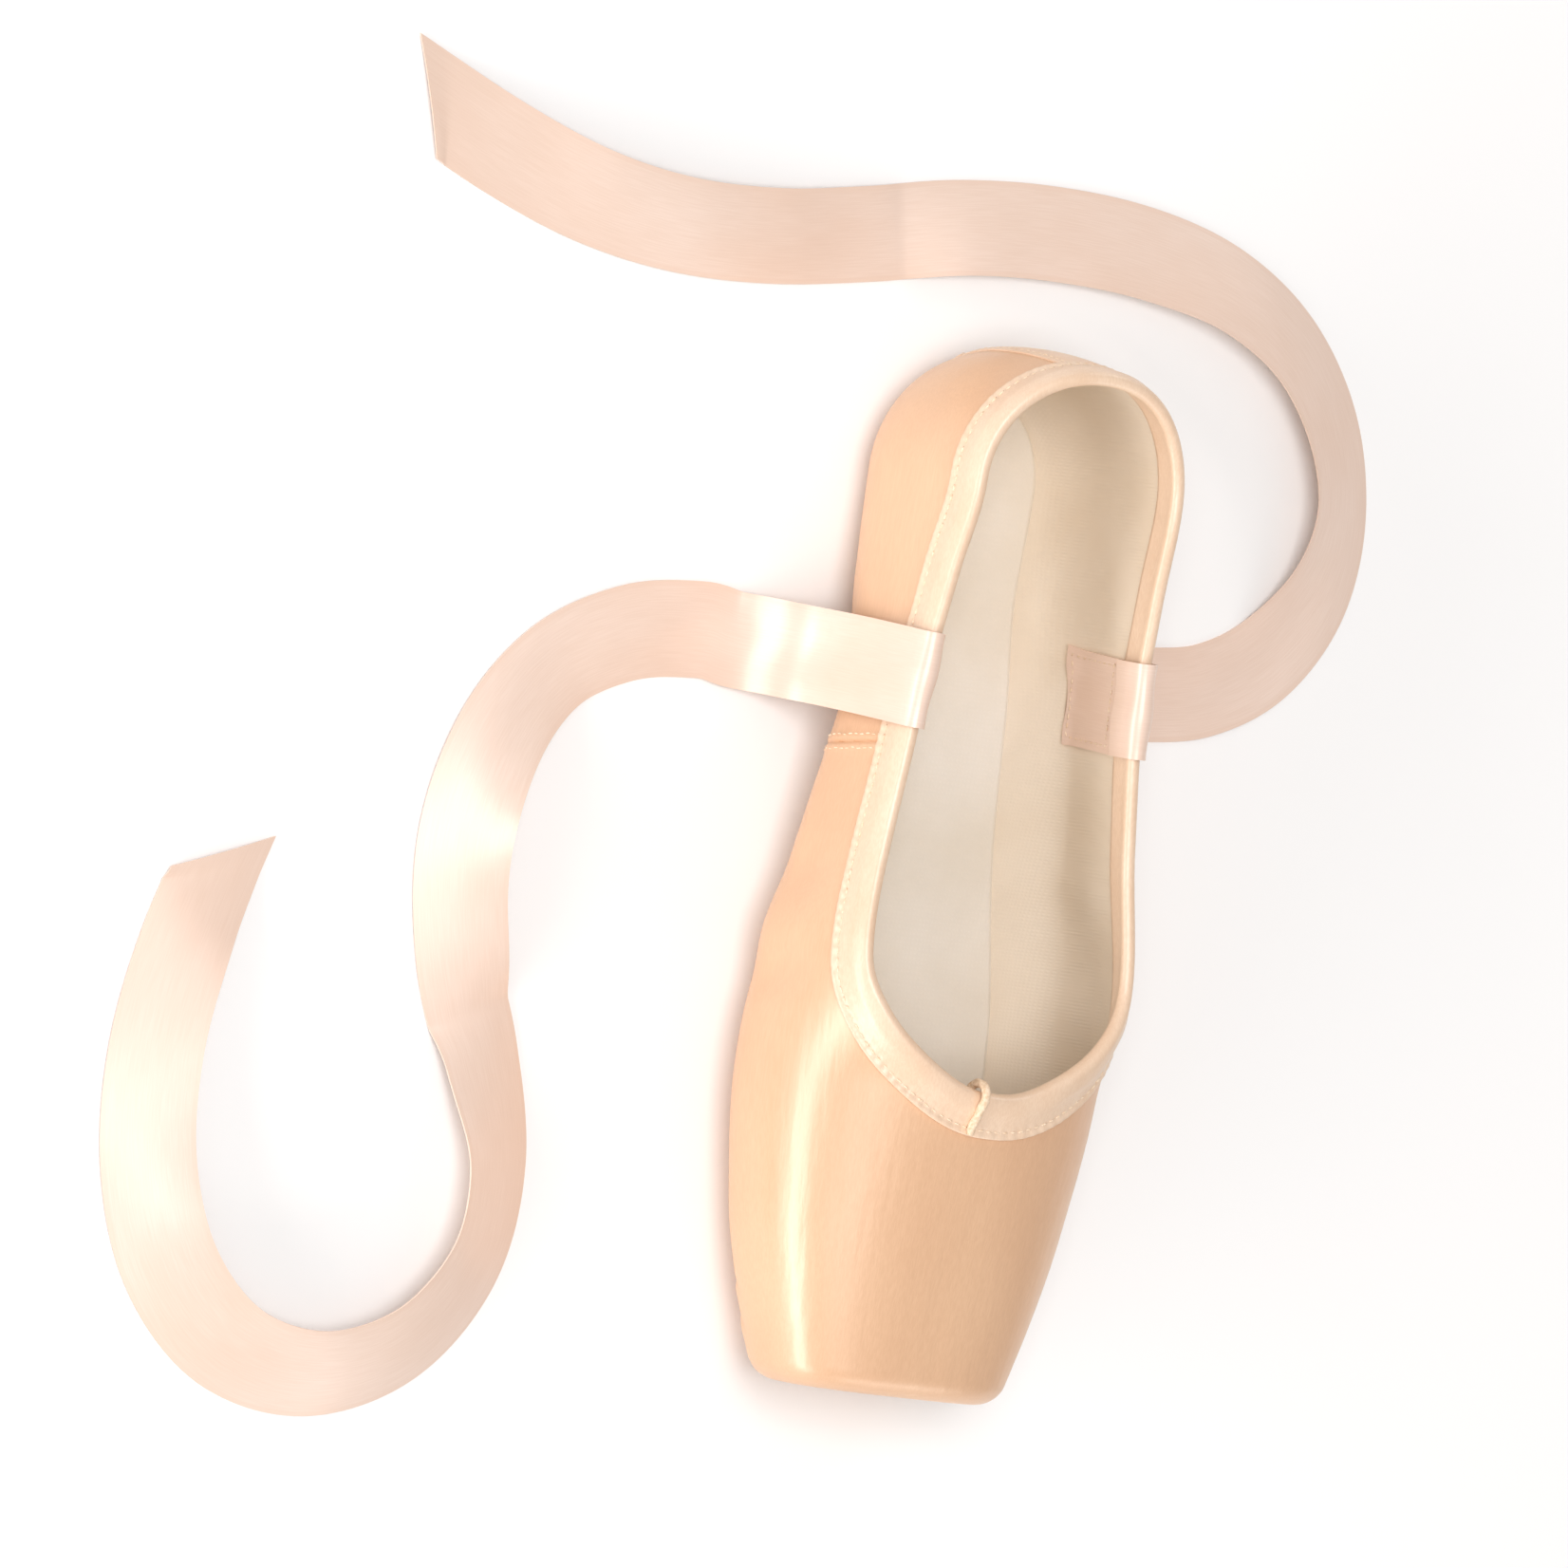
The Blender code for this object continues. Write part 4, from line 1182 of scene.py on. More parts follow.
    def relief(self, points: np.ndarray, normals: np.ndarray) -> tuple[np.ndarray, np.ndarray]:
        """How far the satin stands out at its seams and pleats, and how much painted shade lies in their
        grooves and valleys.

        Args:
            points: Points, one a row.
            normals: Way that the skin faces at each.

        Returns:
            Height at each, and its share of the painted fold shade.
        """
        height = np.zeros(len(points))
        fold = np.zeros(len(points))
        for gap, share in self.seam_gaps(points):
            shown = 1 - ease(share, 0.84, 0.91)
            height += (0.45 * MM * bell(gap, 2.0 * MM) - 0.55 * MM * bell(gap, 0.55 * MM)) * shown
            # Painted shade along the seam's groove.
            fold = np.maximum(fold, 0.45 * bell(gap, 0.4 * MM) * shown)
        rise, pleat_shade = self.pleat_relief(points, normals)
        return height + rise, np.maximum(fold, pleat_shade)

    def nearness(self, points: np.ndarray, crease: Crease) -> tuple[np.ndarray, np.ndarray]:
        """Distance of each vertex from a crease, and how far along the crease it is."""
        route = np.array([self.last.point(d * MM, t, crease.side.value) for d, t in crease.places])
        return self.gap_to(points, even_route(smooth_route(route, 8), 1.5 * MM), 3 * crease.width * MM)

    def gap_to(self, points: np.ndarray, route: np.ndarray, reach: float) -> tuple[np.ndarray, np.ndarray]:
        """Distance of each vertex from a line, up to a reach, and the share along it.

        Args:
            points: Points, one a row.
            route: Points of the line.
            reach: Distance up to which it is measured.

        Returns:
            Distance of each, and the share along the line.
        """
        gap = np.full(len(points), 1.0)
        share = np.zeros(len(points))
        near = np.all((points > route.min(0) - reach) & (points < route.max(0) + reach), axis=1)
        if not near.any():
            return gap, share
        start, step = route[:-1], np.diff(route, axis=0)
        away = points[near][:, None, :] - start[None]
        length = (step ** 2).sum(1)
        part = np.clip((away * step[None]).sum(2) / length, 0.0, 1.0)
        reaches = np.linalg.norm(away - part[..., None] * step[None], axis=2)
        best = reaches.argmin(1)
        rows = np.arange(len(best))
        gap[near] = reaches[rows, best]
        share[near] = (best + part[rows, best]) / len(start)
        return gap, share

    def seam_line(self, side: Side) -> np.ndarray:
        """Side seam from the keel to the collar."""
        ts = np.linspace(3.0, 0.0, 25)
        distances = self.junction + (self.seam_collar - self.junction) * (1 - ts / 3) ** 0.8
        points = np.array([self.last.point(d * MM, t, side.value) for d, t in zip(distances, ts)])
        return even_route(points, 1.0 * MM)

    def keel_line(self, start: float, end: float) -> np.ndarray:
        """Line under the keel between two distances in mm."""
        return np.array([self.last.point(d * MM, 3.0, 1) for d in np.arange(start, end, 1.0)])

    def seam_gaps(self, points: np.ndarray) -> list:
        """Distance of each vertex from each seam, and the share along it."""
        lines = [self.seam_line(Side.RIGHT), self.seam_line(Side.LEFT), self.keel_line(*self.keel_seam)]
        return [self.gap_to(points, line, 6 * MM) for line in lines]

    def pleat_relief(self, points: np.ndarray, normals: np.ndarray) -> tuple[np.ndarray, np.ndarray]:
        """Pleats that run from the front of the forefoot patch to the edge of the platform.

        Args:
            points: Points, one a row.
            normals: Way that the skin faces at each.

        Returns:
            Height at each, and its share of the painted fold shade.
        """
        along = points[:, 1] - self.last.front
        behind = self.pleat_centre - along
        reach = np.hypot(points[:, 0], behind)
        angle = np.degrees(np.arctan2(points[:, 0], behind))
        patch = self.pleat_centre - self.patch_front
        under = 1 - ease(normals[:, 2], -0.97, 0.10)
        start = ease(reach, patch - 6 * MM, patch - 2 * MM)
        outer = 1 - ease(points[:, 2], 9 * MM, 19 * MM)
        height = np.zeros(len(points))
        fold = np.zeros(len(points))
        for pleat in self.pleats:
            away = np.radians(angle - pleat.angle - 1.2 * np.sin(reach / MM / 5 + pleat.angle)) * reach
            fade = 1 - 0.75 * ease(reach, patch + 4 * MM, patch + (30 * pleat.reach + 6) * MM)
            live = start * outer * under * fade
            valley = bell(away, 1.0 * MM)
            ridge = bell(away - pleat.width * MM, 0.75 * pleat.width * MM)
            height += live * pleat.depth * MM * (0.75 * ridge - 0.85 * valley)
            # Painted shade along each pleat's valley.
            fold = np.maximum(fold, live * bell(away, 0.7 * MM) * min(1.0, pleat.depth / 1.5))
        return height, fold


@dataclass
class Lining:
    """Cotton lining on the inside of the upper."""

    upper: Upper
    thickness: float = 0.35 * MM

    def build(self, finishes: Finishes) -> bpy.types.Object:
        """Closed thin sheet on the inner face of the wall.

        Args:
            finishes: Finishes of the shoe.

        Returns:
            The piece.
        """
        index, base, normals = self.upper.lining_data
        coarse = index[::2, ::2]
        used, numbers = np.unique(coarse, return_inverse=True)
        numbers = numbers.reshape(coarse.shape)
        wall = self.upper.wall[used]
        inner = base[used] - normals[used] * wall[:, None]
        outer = base[used] - normals[used] * (wall - self.thickness)[:, None]
        front = self.upper.faces(numbers)
        back = [tuple(v + len(used) for v in reversed(face)) for face in front]
        rim = self.upper.rim_numbers(numbers)
        strip = [(rim[k], rim[(k + 1) % len(rim)], rim[(k + 1) % len(rim)] + len(used), rim[k] + len(used))
                 for k in range(len(rim))]
        item = mesh_piece("lining", np.concatenate([outer, inner]), front + back + strip)
        return dressed(item, finishes.drill, Slot.SOCK)


@dataclass
class Binding:
    """Satin tape folded over the rim, with the drawstring's channel in its fold and one stitched row."""

    upper: Upper
    outside: float = 9.0 * MM
    inside: float = 7.0 * MM
    thickness: float = 0.7 * MM
    stitch_place: float = 0.80
    fold_ease: float = 0.25 * MM
    pitch: float = 2.4 * MM
    outer_shares: tuple = (1.0, 0.985, 0.95, 0.88, 0.80, 0.72, 0.60, 0.48, 0.36, 0.24, 0.12)
    inner_shares: tuple = (0.15, 0.4, 0.65, 0.85, 0.97, 1.0)

    def lift(self, share: float, number: int) -> float:
        """Height of the tape's face over the satin, by its share from the rim and its place round it.

        Args:
            share: Share from the rim, from 0 to 1.
            number: Number of the rim's point.

        Returns:
            The height.
        """
        channel = 0.55 * MM * bell(share - 0.27, 0.2)
        row = 0.30 * MM * bell(share - self.stitch_place, 0.07)
        lip = 0.22 * MM * bell(share - 0.94, 0.05)
        way = number * self.upper.rim_step
        pucker = 0.13 * MM * math.sin(math.tau * way / self.pitch) * bell(share - 0.84, 0.16)
        wave = 0.12 * MM * math.sin(way / MM * 0.37 + 1.3) * math.sin(way / MM * 0.113)
        return float(self.thickness + channel - row + lip + pucker + wave * (1 - share))

    def build(self, finishes: Finishes, stitches: StitchRows) -> bpy.types.Object:
        """The folded tape round the whole rim.

        Args:
            finishes: Finishes of the shoe.
            stitches: Rows that take the stitches.

        Returns:
            The piece.
        """
        upper = self.upper
        rings, row, facing = [], [], []
        for number, point in enumerate(upper.rim):
            out, into, wall = upper.rim_out[number], upper.rim_in[number], float(upper.rim_wall[number])
            face, under = [], []
            for share in self.outer_shares:
                place = point + into * self.outside * share
                lift = self.lift(share, number) if share < 1 else self.thickness * 0.45
                face.append(laid_on(upper.tree, place, lift))
                under.append(laid_on(upper.tree, place, SEAT))
            shadow = laid_on(upper.tree, point + into * self.outside * self.stitch_place,
                             self.lift(self.stitch_place, number) + 0.05 * MM)
            row.append(shadow)
            facing.append(out)
            middle = point - out * wall / 2
            fold = []
            for turn in np.linspace(0.12, math.pi - 0.12, 7):
                thick = wall / 2 + self.thickness + self.fold_ease
                fold.append(middle + out * thick * math.cos(turn) - into * 1.35 * MM * math.sin(turn))
            inner, back = [], []
            for share in self.inner_shares:
                place, normal, _, _ = upper.tree.find_nearest(Vector(point + into * self.inside * share))
                place, normal = np.array(place), np.array(normal)
                thick = self.thickness if share < 1 else self.thickness * 0.4
                inner.append(place - normal * (wall + thick))
                back.append(place - normal * (wall + SEAT))
            rings.append(face + fold + inner + back[::-1] + under[::-1][:-1])
        item = tube_piece("binding_tape", np.array(rings), closed=True, sharp=70.0)
        stitches.add_line(np.array(row + row[:1]), np.array(facing + facing[:1]))
        return dressed(item, finishes.tape, Slot.TAPE, "binding")


@dataclass
class BackStrip:
    """Satin tape over the heel seam, from under the binding to the heel patch, with its end turned in."""

    upper: Upper
    width: float = 15.0 * MM
    thickness: float = 0.7 * MM
    start: float = 8.5 * MM
    end: float = 1.62
    stitch_inset: float = 1.5 * MM
    columns: int = 19
    row_count: int = 61

    def build(self, finishes: Finishes, stitches: StitchRows) -> bpy.types.Object:
        """The tape laid on the satin, with a stitched row along each edge.

        Args:
            finishes: Finishes of the shoe.
            stitches: Rows that take the stitches.

        Returns:
            The piece.
        """
        last = self.upper.last
        back = last.section(last.heel_centre, math.pi / 2)
        first = self.start / (last.collar_height - back.widest)
        rings, rows = [], {-1: ([], []), 1: ([], [])}
        for step in range(self.row_count):
            share = step / (self.row_count - 1)
            t = first + (self.end - first) * share
            depth = last.outline(back, np.array([t]))[0, 0] * last.heel_stretch
            folded = 0.45 * MM * float(ease(share, 0.86, 0.88))
            end = 0.35 * MM * float(ease(share, 0.985, 1.0))
            over, under = [], []
            for i in range(self.columns):
                across = (i / (self.columns - 1) - 0.5) * self.width
                inset = self.width / 2 - abs(across)
                edge = 0.30 * MM * float(bell(inset, 0.35 * MM))
                row = 0.20 * MM * float(bell(inset - self.stitch_inset, 0.45 * MM))
                crown = 0.15 * MM * float(bell(across, 5 * MM))
                lift = self.thickness + folded - edge - row + crown - end
                over.append(self.laid(across, t, depth, lift))
                under.append(self.laid(across, t, depth, SEAT))
            rings.append(over + under[::-1])
            for side in (-1, 1):
                across = side * (self.width / 2 - self.stitch_inset)
                place = self.laid(across, t, depth, self.thickness + folded - 0.1 * MM)
                rows[side][0].append(place)
                rows[side][1].append(place - self.laid(across, t, depth, 0.0))
        for line, facing in rows.values():
            stitches.add_line(np.array(line), np.array(facing))
        item = tube_piece("back_tape", np.array(rings), sharp=60.0)
        return dressed(item, finishes.tape, Slot.TAPE, "back_strip")

    def laid(self, across: float, t: float, depth: float, lift: float) -> np.ndarray:
        """Point of the tape at a place across the heel.

        Args:
            across: Place across the shoe.
            t: Place round the section.
            depth: How far the heel stands back there.
            lift: Height over the satin.

        Returns:
            The point.
        """
        last = self.upper.last
        turn = math.acos(min(1.0, abs(across) * last.heel_stretch / depth))
        section = last.section(last.heel_centre, turn)
        point = last.place(section, last.outline(section, np.array([t]))[0], 1 if across >= 0 else -1)
        return laid_on(self.upper.tree, point, lift)


@dataclass
class Patch:
    """Leather sole patch with scored lines for grip and a burnished, rounded rim."""

    name: str
    node: str
    last: Last
    start: float
    length: float
    half: float
    lean: float
    fullness: float = 0.50
    rows: int = 300
    columns: int = 61
    thickness: float = 2.0 * MM
    gap: float = 0.3 * MM
    groove_pitch: float = 2.6 * MM
    groove_depth: float = 0.28 * MM
    groove_width: float = 0.32 * MM
    scored: tuple = (4.0, 44.0)
    slope: float = 0.28
    stitch_inset: float = 0.0
    channel_depth: float = 0.38 * MM
    rim_radius: float = 0.9 * MM

    def half_width(self, share: np.ndarray) -> np.ndarray:
        """Half width at shares of the length."""
        return self.half * np.sin(math.pi * np.clip(share, 0, 1) ** self.lean) ** self.fullness

    def scores(self, across: np.ndarray, along: np.ndarray, inset: np.ndarray) -> np.ndarray:
        """How deep in a scored line each place is, from 0 to 1.

        The lines are plain chevrons, evenly spaced, and end short of the patch's rim.

        Args:
            across: Place across the shoe.
            along: Place along the patch.
            inset: Distance from its edge.

        Returns:
            Share of the full depth at each.
        """
        low, high = (place * MM for place in self.scored)
        bent = along + self.slope * np.sqrt(across ** 2 + (3 * MM) ** 2)
        phase = (bent / self.groove_pitch) % 1.0 - 0.5
        line = bell(phase * self.groove_pitch, self.groove_width)
        return line * ease(bent, low, low + 0.5 * MM) * (1 - ease(bent, high, high + 0.5 * MM)) \
            * ease(inset, 2.6 * MM, 4.0 * MM)

    def build(self, finishes: Finishes) -> bpy.types.Object:
        """The patch, lying under the satin and flat where the shoe stands.

        Args:
            finishes: Finishes of the shoe.

        Returns:
            The piece.
        """
        turns = np.linspace(0.012, math.pi - 0.012, self.rows)
        shares = (1 - np.cos(turns)) / 2
        cross = np.sin(np.linspace(-math.pi / 2, math.pi / 2, self.columns))
        rings, grooves, rims = [], [], []
        for share in shares:
            distance = self.start + self.length * share
            half = float(self.half_width(np.array([share]))[0])
            across = cross * half
            end = min(share, 1 - share) * self.length
            inset = np.minimum(half - np.abs(across), end)
            edge = 1 - np.clip(inset / self.rim_radius, 0, 1)
            round_off = self.rim_radius * (1 - np.sqrt(np.clip(1 - edge ** 2, 0, 1)))
            round_off = round_off + self.channel_depth * self.channel(across, distance)
            groove = self.scores(across, distance - self.start + 0 * across, inset)
            height = np.array([self.last.bottom_height(x, distance) for x in across])
            low = height - self.gap - self.thickness
            worn = 0.05 * MM * np.sin(across / MM * 0.31 + distance / MM * 0.17)
            bottom = np.maximum(low, low + round_off + groove * self.groove_depth + np.abs(worn) * 0.3)
            top = height - self.gap - 0.12 * MM * bell(inset, 0.6 * MM)
            y = np.full_like(across, self.last.front + distance)
            rings.append(np.concatenate([np.stack([across, y, bottom], 1),
                                         np.stack([across, y, top], 1)[::-1]]))
            grooves.append(np.concatenate([groove, 0 * groove]))
            rim = 1 - ease(inset, 0.2 * MM, 1.5 * MM)
            rims.append(np.concatenate([0.75 * rim, np.ones_like(rim)]))
        item = tube_piece(self.name, np.array(rings), sharp=60.0, depth=np.array(grooves))
        set_attribute(item, "groove", np.array(grooves) * 0.85)
        set_attribute(item, "rim", np.array(rims))
        return dressed(item, finishes.leather, Slot.LEATHER, self.node)

    def stitched(self) -> np.ndarray:
        """Places across and along of the stitched row, inside the patch's rim.

        Returns:
            One row of across and along for each point.
        """
        turns = np.linspace(0.0, math.tau, 641)
        shares = (1 - np.cos(turns)) / 2
        half = self.half_width(shares)
        middle = np.array([0.0, self.start + self.length / 2])
        edge = np.stack([np.where(turns < math.pi, half, -half), self.start + self.length * shares], 1)
        size = np.linalg.norm(edge - middle, axis=1, keepdims=True)
        return middle + (edge - middle) * (1 - self.stitch_inset / size)

    def channel(self, across: np.ndarray, distance: float) -> np.ndarray:
        """How deep in the channel of the stitched row each place is, from 0 to 1.

        Args:
            across: Place across the shoe.
            distance: Distance from the toe platform.

        Returns:
            Share of the full depth at each.
        """
        if not self.stitch_inset:
            return np.zeros_like(across)
        row = self.stitched()
        away = np.hypot(across[:, None] - row[None, :, 0], distance - row[None, :, 1]).min(axis=1)
        return bell(away, 0.5 * MM)

    def stitch_line(self, stitches: StitchRows) -> None:
        """Row of stitches in the channel, clear of the floor."""
        low = self.gap + self.thickness - stitches.thickness * (1 + stitches.unevenness) / 2 - 0.01 * MM
        points = [(x, self.last.front + d, self.last.bottom_height(x, d) - low) for x, d in self.stitched()]
        stitches.add_line(np.array(points), np.tile([0.0, 0.0, -1.0], (len(points), 1)))


@dataclass
class Insole:
    """Insole board with its cotton sock lining, inside the shoe."""

    last: Last
    thickness: float = 1.8 * MM
    toe_gap: float = 6.0 * MM
    toe_round: float = 16.0 * MM
    reach: float = 0.25
    lean: float = 1.05
    clearance: float = 0.5 * MM
    rows: int = 150
    columns: int = 41

    def half_width(self, distance: float) -> float:
        """Half width: the flat of the last and part of the way up its side.

        Args:
            distance: Distance from the toe platform.

        Returns:
            The half width.
        """
        last = self.last
        section = last.section(min(distance, last.heel_centre))
        reach = section.flat + (section.half - section.flat) * self.reach - last.wall(distance)
        if distance > last.heel_centre:
            behind = (distance - last.heel_centre) / last.heel_stretch
            return math.sqrt(max(0.0, reach ** 2 - behind ** 2))
        front = min(1.0, (distance - self.toe_gap) / self.toe_round)
        return reach * math.sqrt(max(0.0, 1 - (1 - front) ** 2)) if front < 1 else reach

    def build(self, finishes: Finishes) -> bpy.types.Object:
        """The board, with a soft rolled edge to its sock lining.

        Args:
            finishes: Finishes of the shoe.

        Returns:
            The piece.
        """
        last = self.last
        section = last.section(last.heel_centre)
        reach = section.flat + (section.half - section.flat) * self.reach - last.quarter_wall
        end = last.heel_centre + reach * last.heel_stretch
        turns = np.linspace(0.02, math.pi - 0.02, self.rows)
        cross = np.sin(np.linspace(-math.pi / 2, math.pi / 2, self.columns))
        rings = []
        for share in (1 - np.cos(turns)) / 2:
            distance = self.toe_gap + (end - self.toe_gap) * share
            half = self.half_width(distance)
            across = cross * half
            inset = np.minimum(half - np.abs(across), min(share, 1 - share) * (end - self.toe_gap))
            round_off = 0.8 * MM * (1 - ease(inset, 0.0, 1.0 * MM))
            height = np.array([last.bottom_height(x, distance) for x in across])
            low = height + last.wall(distance) * self.lean + self.clearance
            soft = 0.12 * MM * np.sin(across / MM * 0.21 + 1) * np.sin(distance / MM * 0.13)
            y = np.full_like(across, last.front + distance)
            top = low + self.thickness - round_off + soft * ease(inset, 1 * MM, 5 * MM)
            rings.append(np.concatenate([np.stack([across, y, low], 1),
                                         np.stack([across, y, top], 1)[::-1]]))
        item = tube_piece("sock_lining", np.array(rings), sharp=60.0)
        return dressed(item, finishes.sock, Slot.SOCK, "insole")


@dataclass
class Drawstring:
    """End of the drawstring: out of the binding inside, over its fold and down its outer leg."""

    binding: Binding
    radius: float = 1.0 * MM
    aside: float = 4.5 * MM
    inside_shares: tuple = (0.8, 0.3)
    outside_shares: tuple = (0.25, 0.6, 0.95)
    fold_shares: tuple = (0.8, 0.7, 1.25)
    facets: int = 14

    def build(self, finishes: Finishes) -> bpy.types.Object:
        """The cord as a tube with its plies, cut square at its end.

        Args:
            finishes: Finishes of the shoe.

        Returns:
            The piece.
        """
        upper = self.binding.upper
        front = [i for i in range(len(upper.rim)) if upper.rim[i, 1] < upper.rim[:, 1].min() + 12 * MM]
        number = min(front, key=lambda i: abs(upper.rim[i, 0] + self.aside))
        point, out, into = upper.rim[number], upper.rim_out[number], upper.rim_in[number]
        wall = float(upper.rim_wall[number])
        clear = self.binding.thickness + 0.75 * MM + self.radius
        aside, up, top = (share * clear for share in self.fold_shares)
        inner = point - out * wall
        points = [inner + into * self.binding.inside * share - out * clear for share in self.inside_shares]
        points += [inner - out * aside - into * up, (inner + point) / 2 - into * top,
                   point + out * aside - into * up]
        for share in self.outside_shares:
            place = point + into * self.binding.outside * share
            lift = self.binding.lift(share, number) + self.radius * 0.8
            points.append(laid_on(upper.tree, place, lift))
        route = even_route(smooth_route(np.array(points), 12), 0.3 * MM)
        rings = []
        for i, (place, along) in enumerate(zip(route, directions(route))):
            first = unit(np.cross(along, [1.0, 0.0, 0.0]))
            second = np.cross(along, first)
            turns = np.arange(self.facets) / self.facets * math.tau
            end = min(i, len(route) - 1 - i) * 0.3
            size = self.radius * (0.55 + 0.45 * math.sqrt(min(1.0, end)))
            ply = size * (1 + 0.09 * np.cos(3 * turns - i * 0.42))
            rings.append(place + ply[:, None] * (first * np.cos(turns)[:, None]
                                                 + second * np.sin(turns)[:, None]))
        item = tube_piece("drawstring_end", np.array(rings))
        return dressed(item, finishes.cord, Slot.CORD, "drawstring")


@dataclass
class Ribbon:
    """Satin tie ribbon: its sewn end inside the collar and its free length."""

    upper: Upper
    side: Side
    length: float
    floor: tuple
    width: float = 22.0 * MM
    thickness: float = 0.5 * MM
    sewn: float = 22.0 * MM
    place: float = 0.162
    unit_length: float = 0.455
    floor_gap: float = 0.15 * MM
    turn_shares: tuple = (0.11, 0.57)
    rest_share: float = 0.9
    half_share: float = 0.36
    step: float = 1.5 * MM
    lying_shares: tuple = (0.24, 0.36)
    bank_angle: float = 28.0
    bank_turning: float = 16.0
    cut_slant: float = 9 * MM
    lining: float = 0.35 * MM
    columns: int = 15
    over: tuple = (
        (-0.119, 0.015, 0.843), (-0.147, 0.010, 0.924), (-0.151, 0.006, 1.000), (-0.110, 0.001, 1.055),
        (-0.024, 0.006, 1.076), (0.071, 0.010, 1.055), (0.121, 0.019, 1.000), (0.144, 0.033, 0.912),
        (0.162, 0.051, 0.774), (0.185, 0.074, 0.590), (0.249, 0.097, 0.383), (0.417, 0.119, 0.198),
        (0.694, 0.142, 0.076), (1.040, 0.160, 0.016), (1.449, 0.206, 0.000),
    )

    @property
    def end_name(self) -> str:
        """Left or right, as in the names of its solids."""
        return self.side.name.lower()

    def collar_frame(self) -> tuple[int, np.ndarray, np.ndarray]:
        """Number and point of the rim where the ribbon crosses it, and the way of its width.

        Returns:
            The number, the point and the way.
        """
        wanted = self.upper.last.front + self.place
        near = [i for i in range(len(self.upper.rim)) if self.upper.rim[i, 0] * self.side.value > 0]
        number = min(near, key=lambda i: abs(self.upper.rim[i, 1] - wanted))
        along = self.upper.rim_along[number]
        along = along if along[1] * self.side.value < 0 else -along
        point = self.upper.rim[number] + along * (wanted - self.upper.rim[number, 1]) / along[1]
        return number, point, along

    def route(self) -> np.ndarray:
        """Middle line of the free ribbon, from inside the collar to its end on the floor.

        Returns:
            Points of the middle line.
        """
        _, start, _ = self.collar_frame()
        level = self.thickness / 2 + self.floor_gap
        points = [(start[0] + self.side.value * out * self.width, start[1] + along * self.width,
                   level + (start[2] - level) * up) for out, along, up in self.over]
        points += [(start[0] + across * self.unit_length, start[1] + along * self.unit_length, level)
                   for across, along in self.floor]
        return even_route(smooth_route(np.array(points), 12), self.step)

    def build(self, finishes: Finishes) -> bpy.types.Object:
        """The free ribbon, with soft waves where it lies on the floor and a slanting cut end.

        Args:
            finishes: Finishes of the shoe.

        Returns:
            The piece.
        """
        route = self.route()
        _, start, collar = self.collar_frame()
        low, high = (share * start[2] for share in self.turn_shares)
        way = np.arange(len(route)) / (len(route) - 1)
        rings, paths, strip = [], [], []
        shares = np.linspace(-1.0, 1.0, self.columns)
        reach = 0.0
        banks = self.banks(route)
        for i, (point, along) in enumerate(zip(route, directions(route))):
            reach += float(np.linalg.norm(point - route[max(0, i - 1)]))
            level = unit(np.cross(along, [0.0, 0.0, 1.0]))
            upright = float(ease(point[2], low, high))
            lying = (1 - upright) * float(ease(way[i], *self.lying_shares))
            bank = banks[i] * lying
            level = level * math.cos(bank) - np.array([0.0, 0.0, math.sin(bank)])
            across = collar * upright + level * (1 - upright) if upright < 1 else collar
            across = unit(across - along * np.dot(across, along)) * self.width / 2
            up = unit(np.cross(across, along))
            phase = reach / MM
            wave = 0.9 * MM * (1.2 + math.sin(phase / 19 + 1.1 * self.side.value))
            cup = 0.9 * MM * (0.5 + 0.5 * math.sin(phase / 14)) * (1 - shares ** 2)
            raised = math.hypot(math.sin(bank), 0.10 * lying) * self.width / 2
            raised += lying * (wave + 0.2 * MM)
            soft = 0.25 * MM * (1 - lying) * np.sin(shares * 4.2 + phase / 11)
            middle = point + across * shares[:, None] + np.array([0.0, 0.0, raised]) \
                + up * (lying * cup + soft)[:, None]
            middle += along * (self.cut_slant * float(ease(way[i], 0.965, 1.0)) * shares)[:, None]
            low_edge = self.half_share * self.thickness + SEAT
            middle[:, 2] = np.maximum(middle[:, 2], low_edge)
            middle[:, 2] -= self.rest_share * lying * (middle[:, 2].min() - low_edge)
            thick = np.tile(up * self.thickness * self.half_share, (self.columns, 1))
            rings.append(np.concatenate([middle + thick, (middle - thick)[::-1]]))
            paths.append(middle[self.columns // 2])
            row = np.stack([shares * self.width / 2, np.full(self.columns, reach)], 1)
            strip.append(np.concatenate([row, row[::-1]]))
        item = tube_piece("free_ribbon_" + self.end_name, np.array(rings), sharp=70.0)
        self.add_strip(item, np.array(strip).reshape(-1, 2))
        dressed(item, finishes.ribbon, Slot.RIBBON, "ribbon_" + self.end_name)
        return item

    def banks(self, route: np.ndarray) -> np.ndarray:
        """Angle by which the inner edge of the ribbon lifts at each point, more where it turns more.

        Args:
            route: Points of the line.

        Returns:
            Angle in radians at each point.
        """
        ways = directions(route)
        turning = np.cross(ways[:-1], ways[1:])[:, 2] / self.step
        turning = np.concatenate([turning, turning[-1:]])
        window = np.hanning(31) / np.hanning(31).sum()
        turning = np.convolve(np.pad(turning, 15, mode="edge"), window, mode="valid")
        return math.radians(self.bank_angle) * np.tanh(turning / self.bank_turning)

    def add_strip(self, item: bpy.types.Object, places: np.ndarray) -> None:
        """UV map with metres across and along the ribbon."""
        layer = item.data.uv_layers.new(name="strip")
        for loop in item.data.loops:
            layer.uv[loop.index].vector = places[loop.vertex_index]

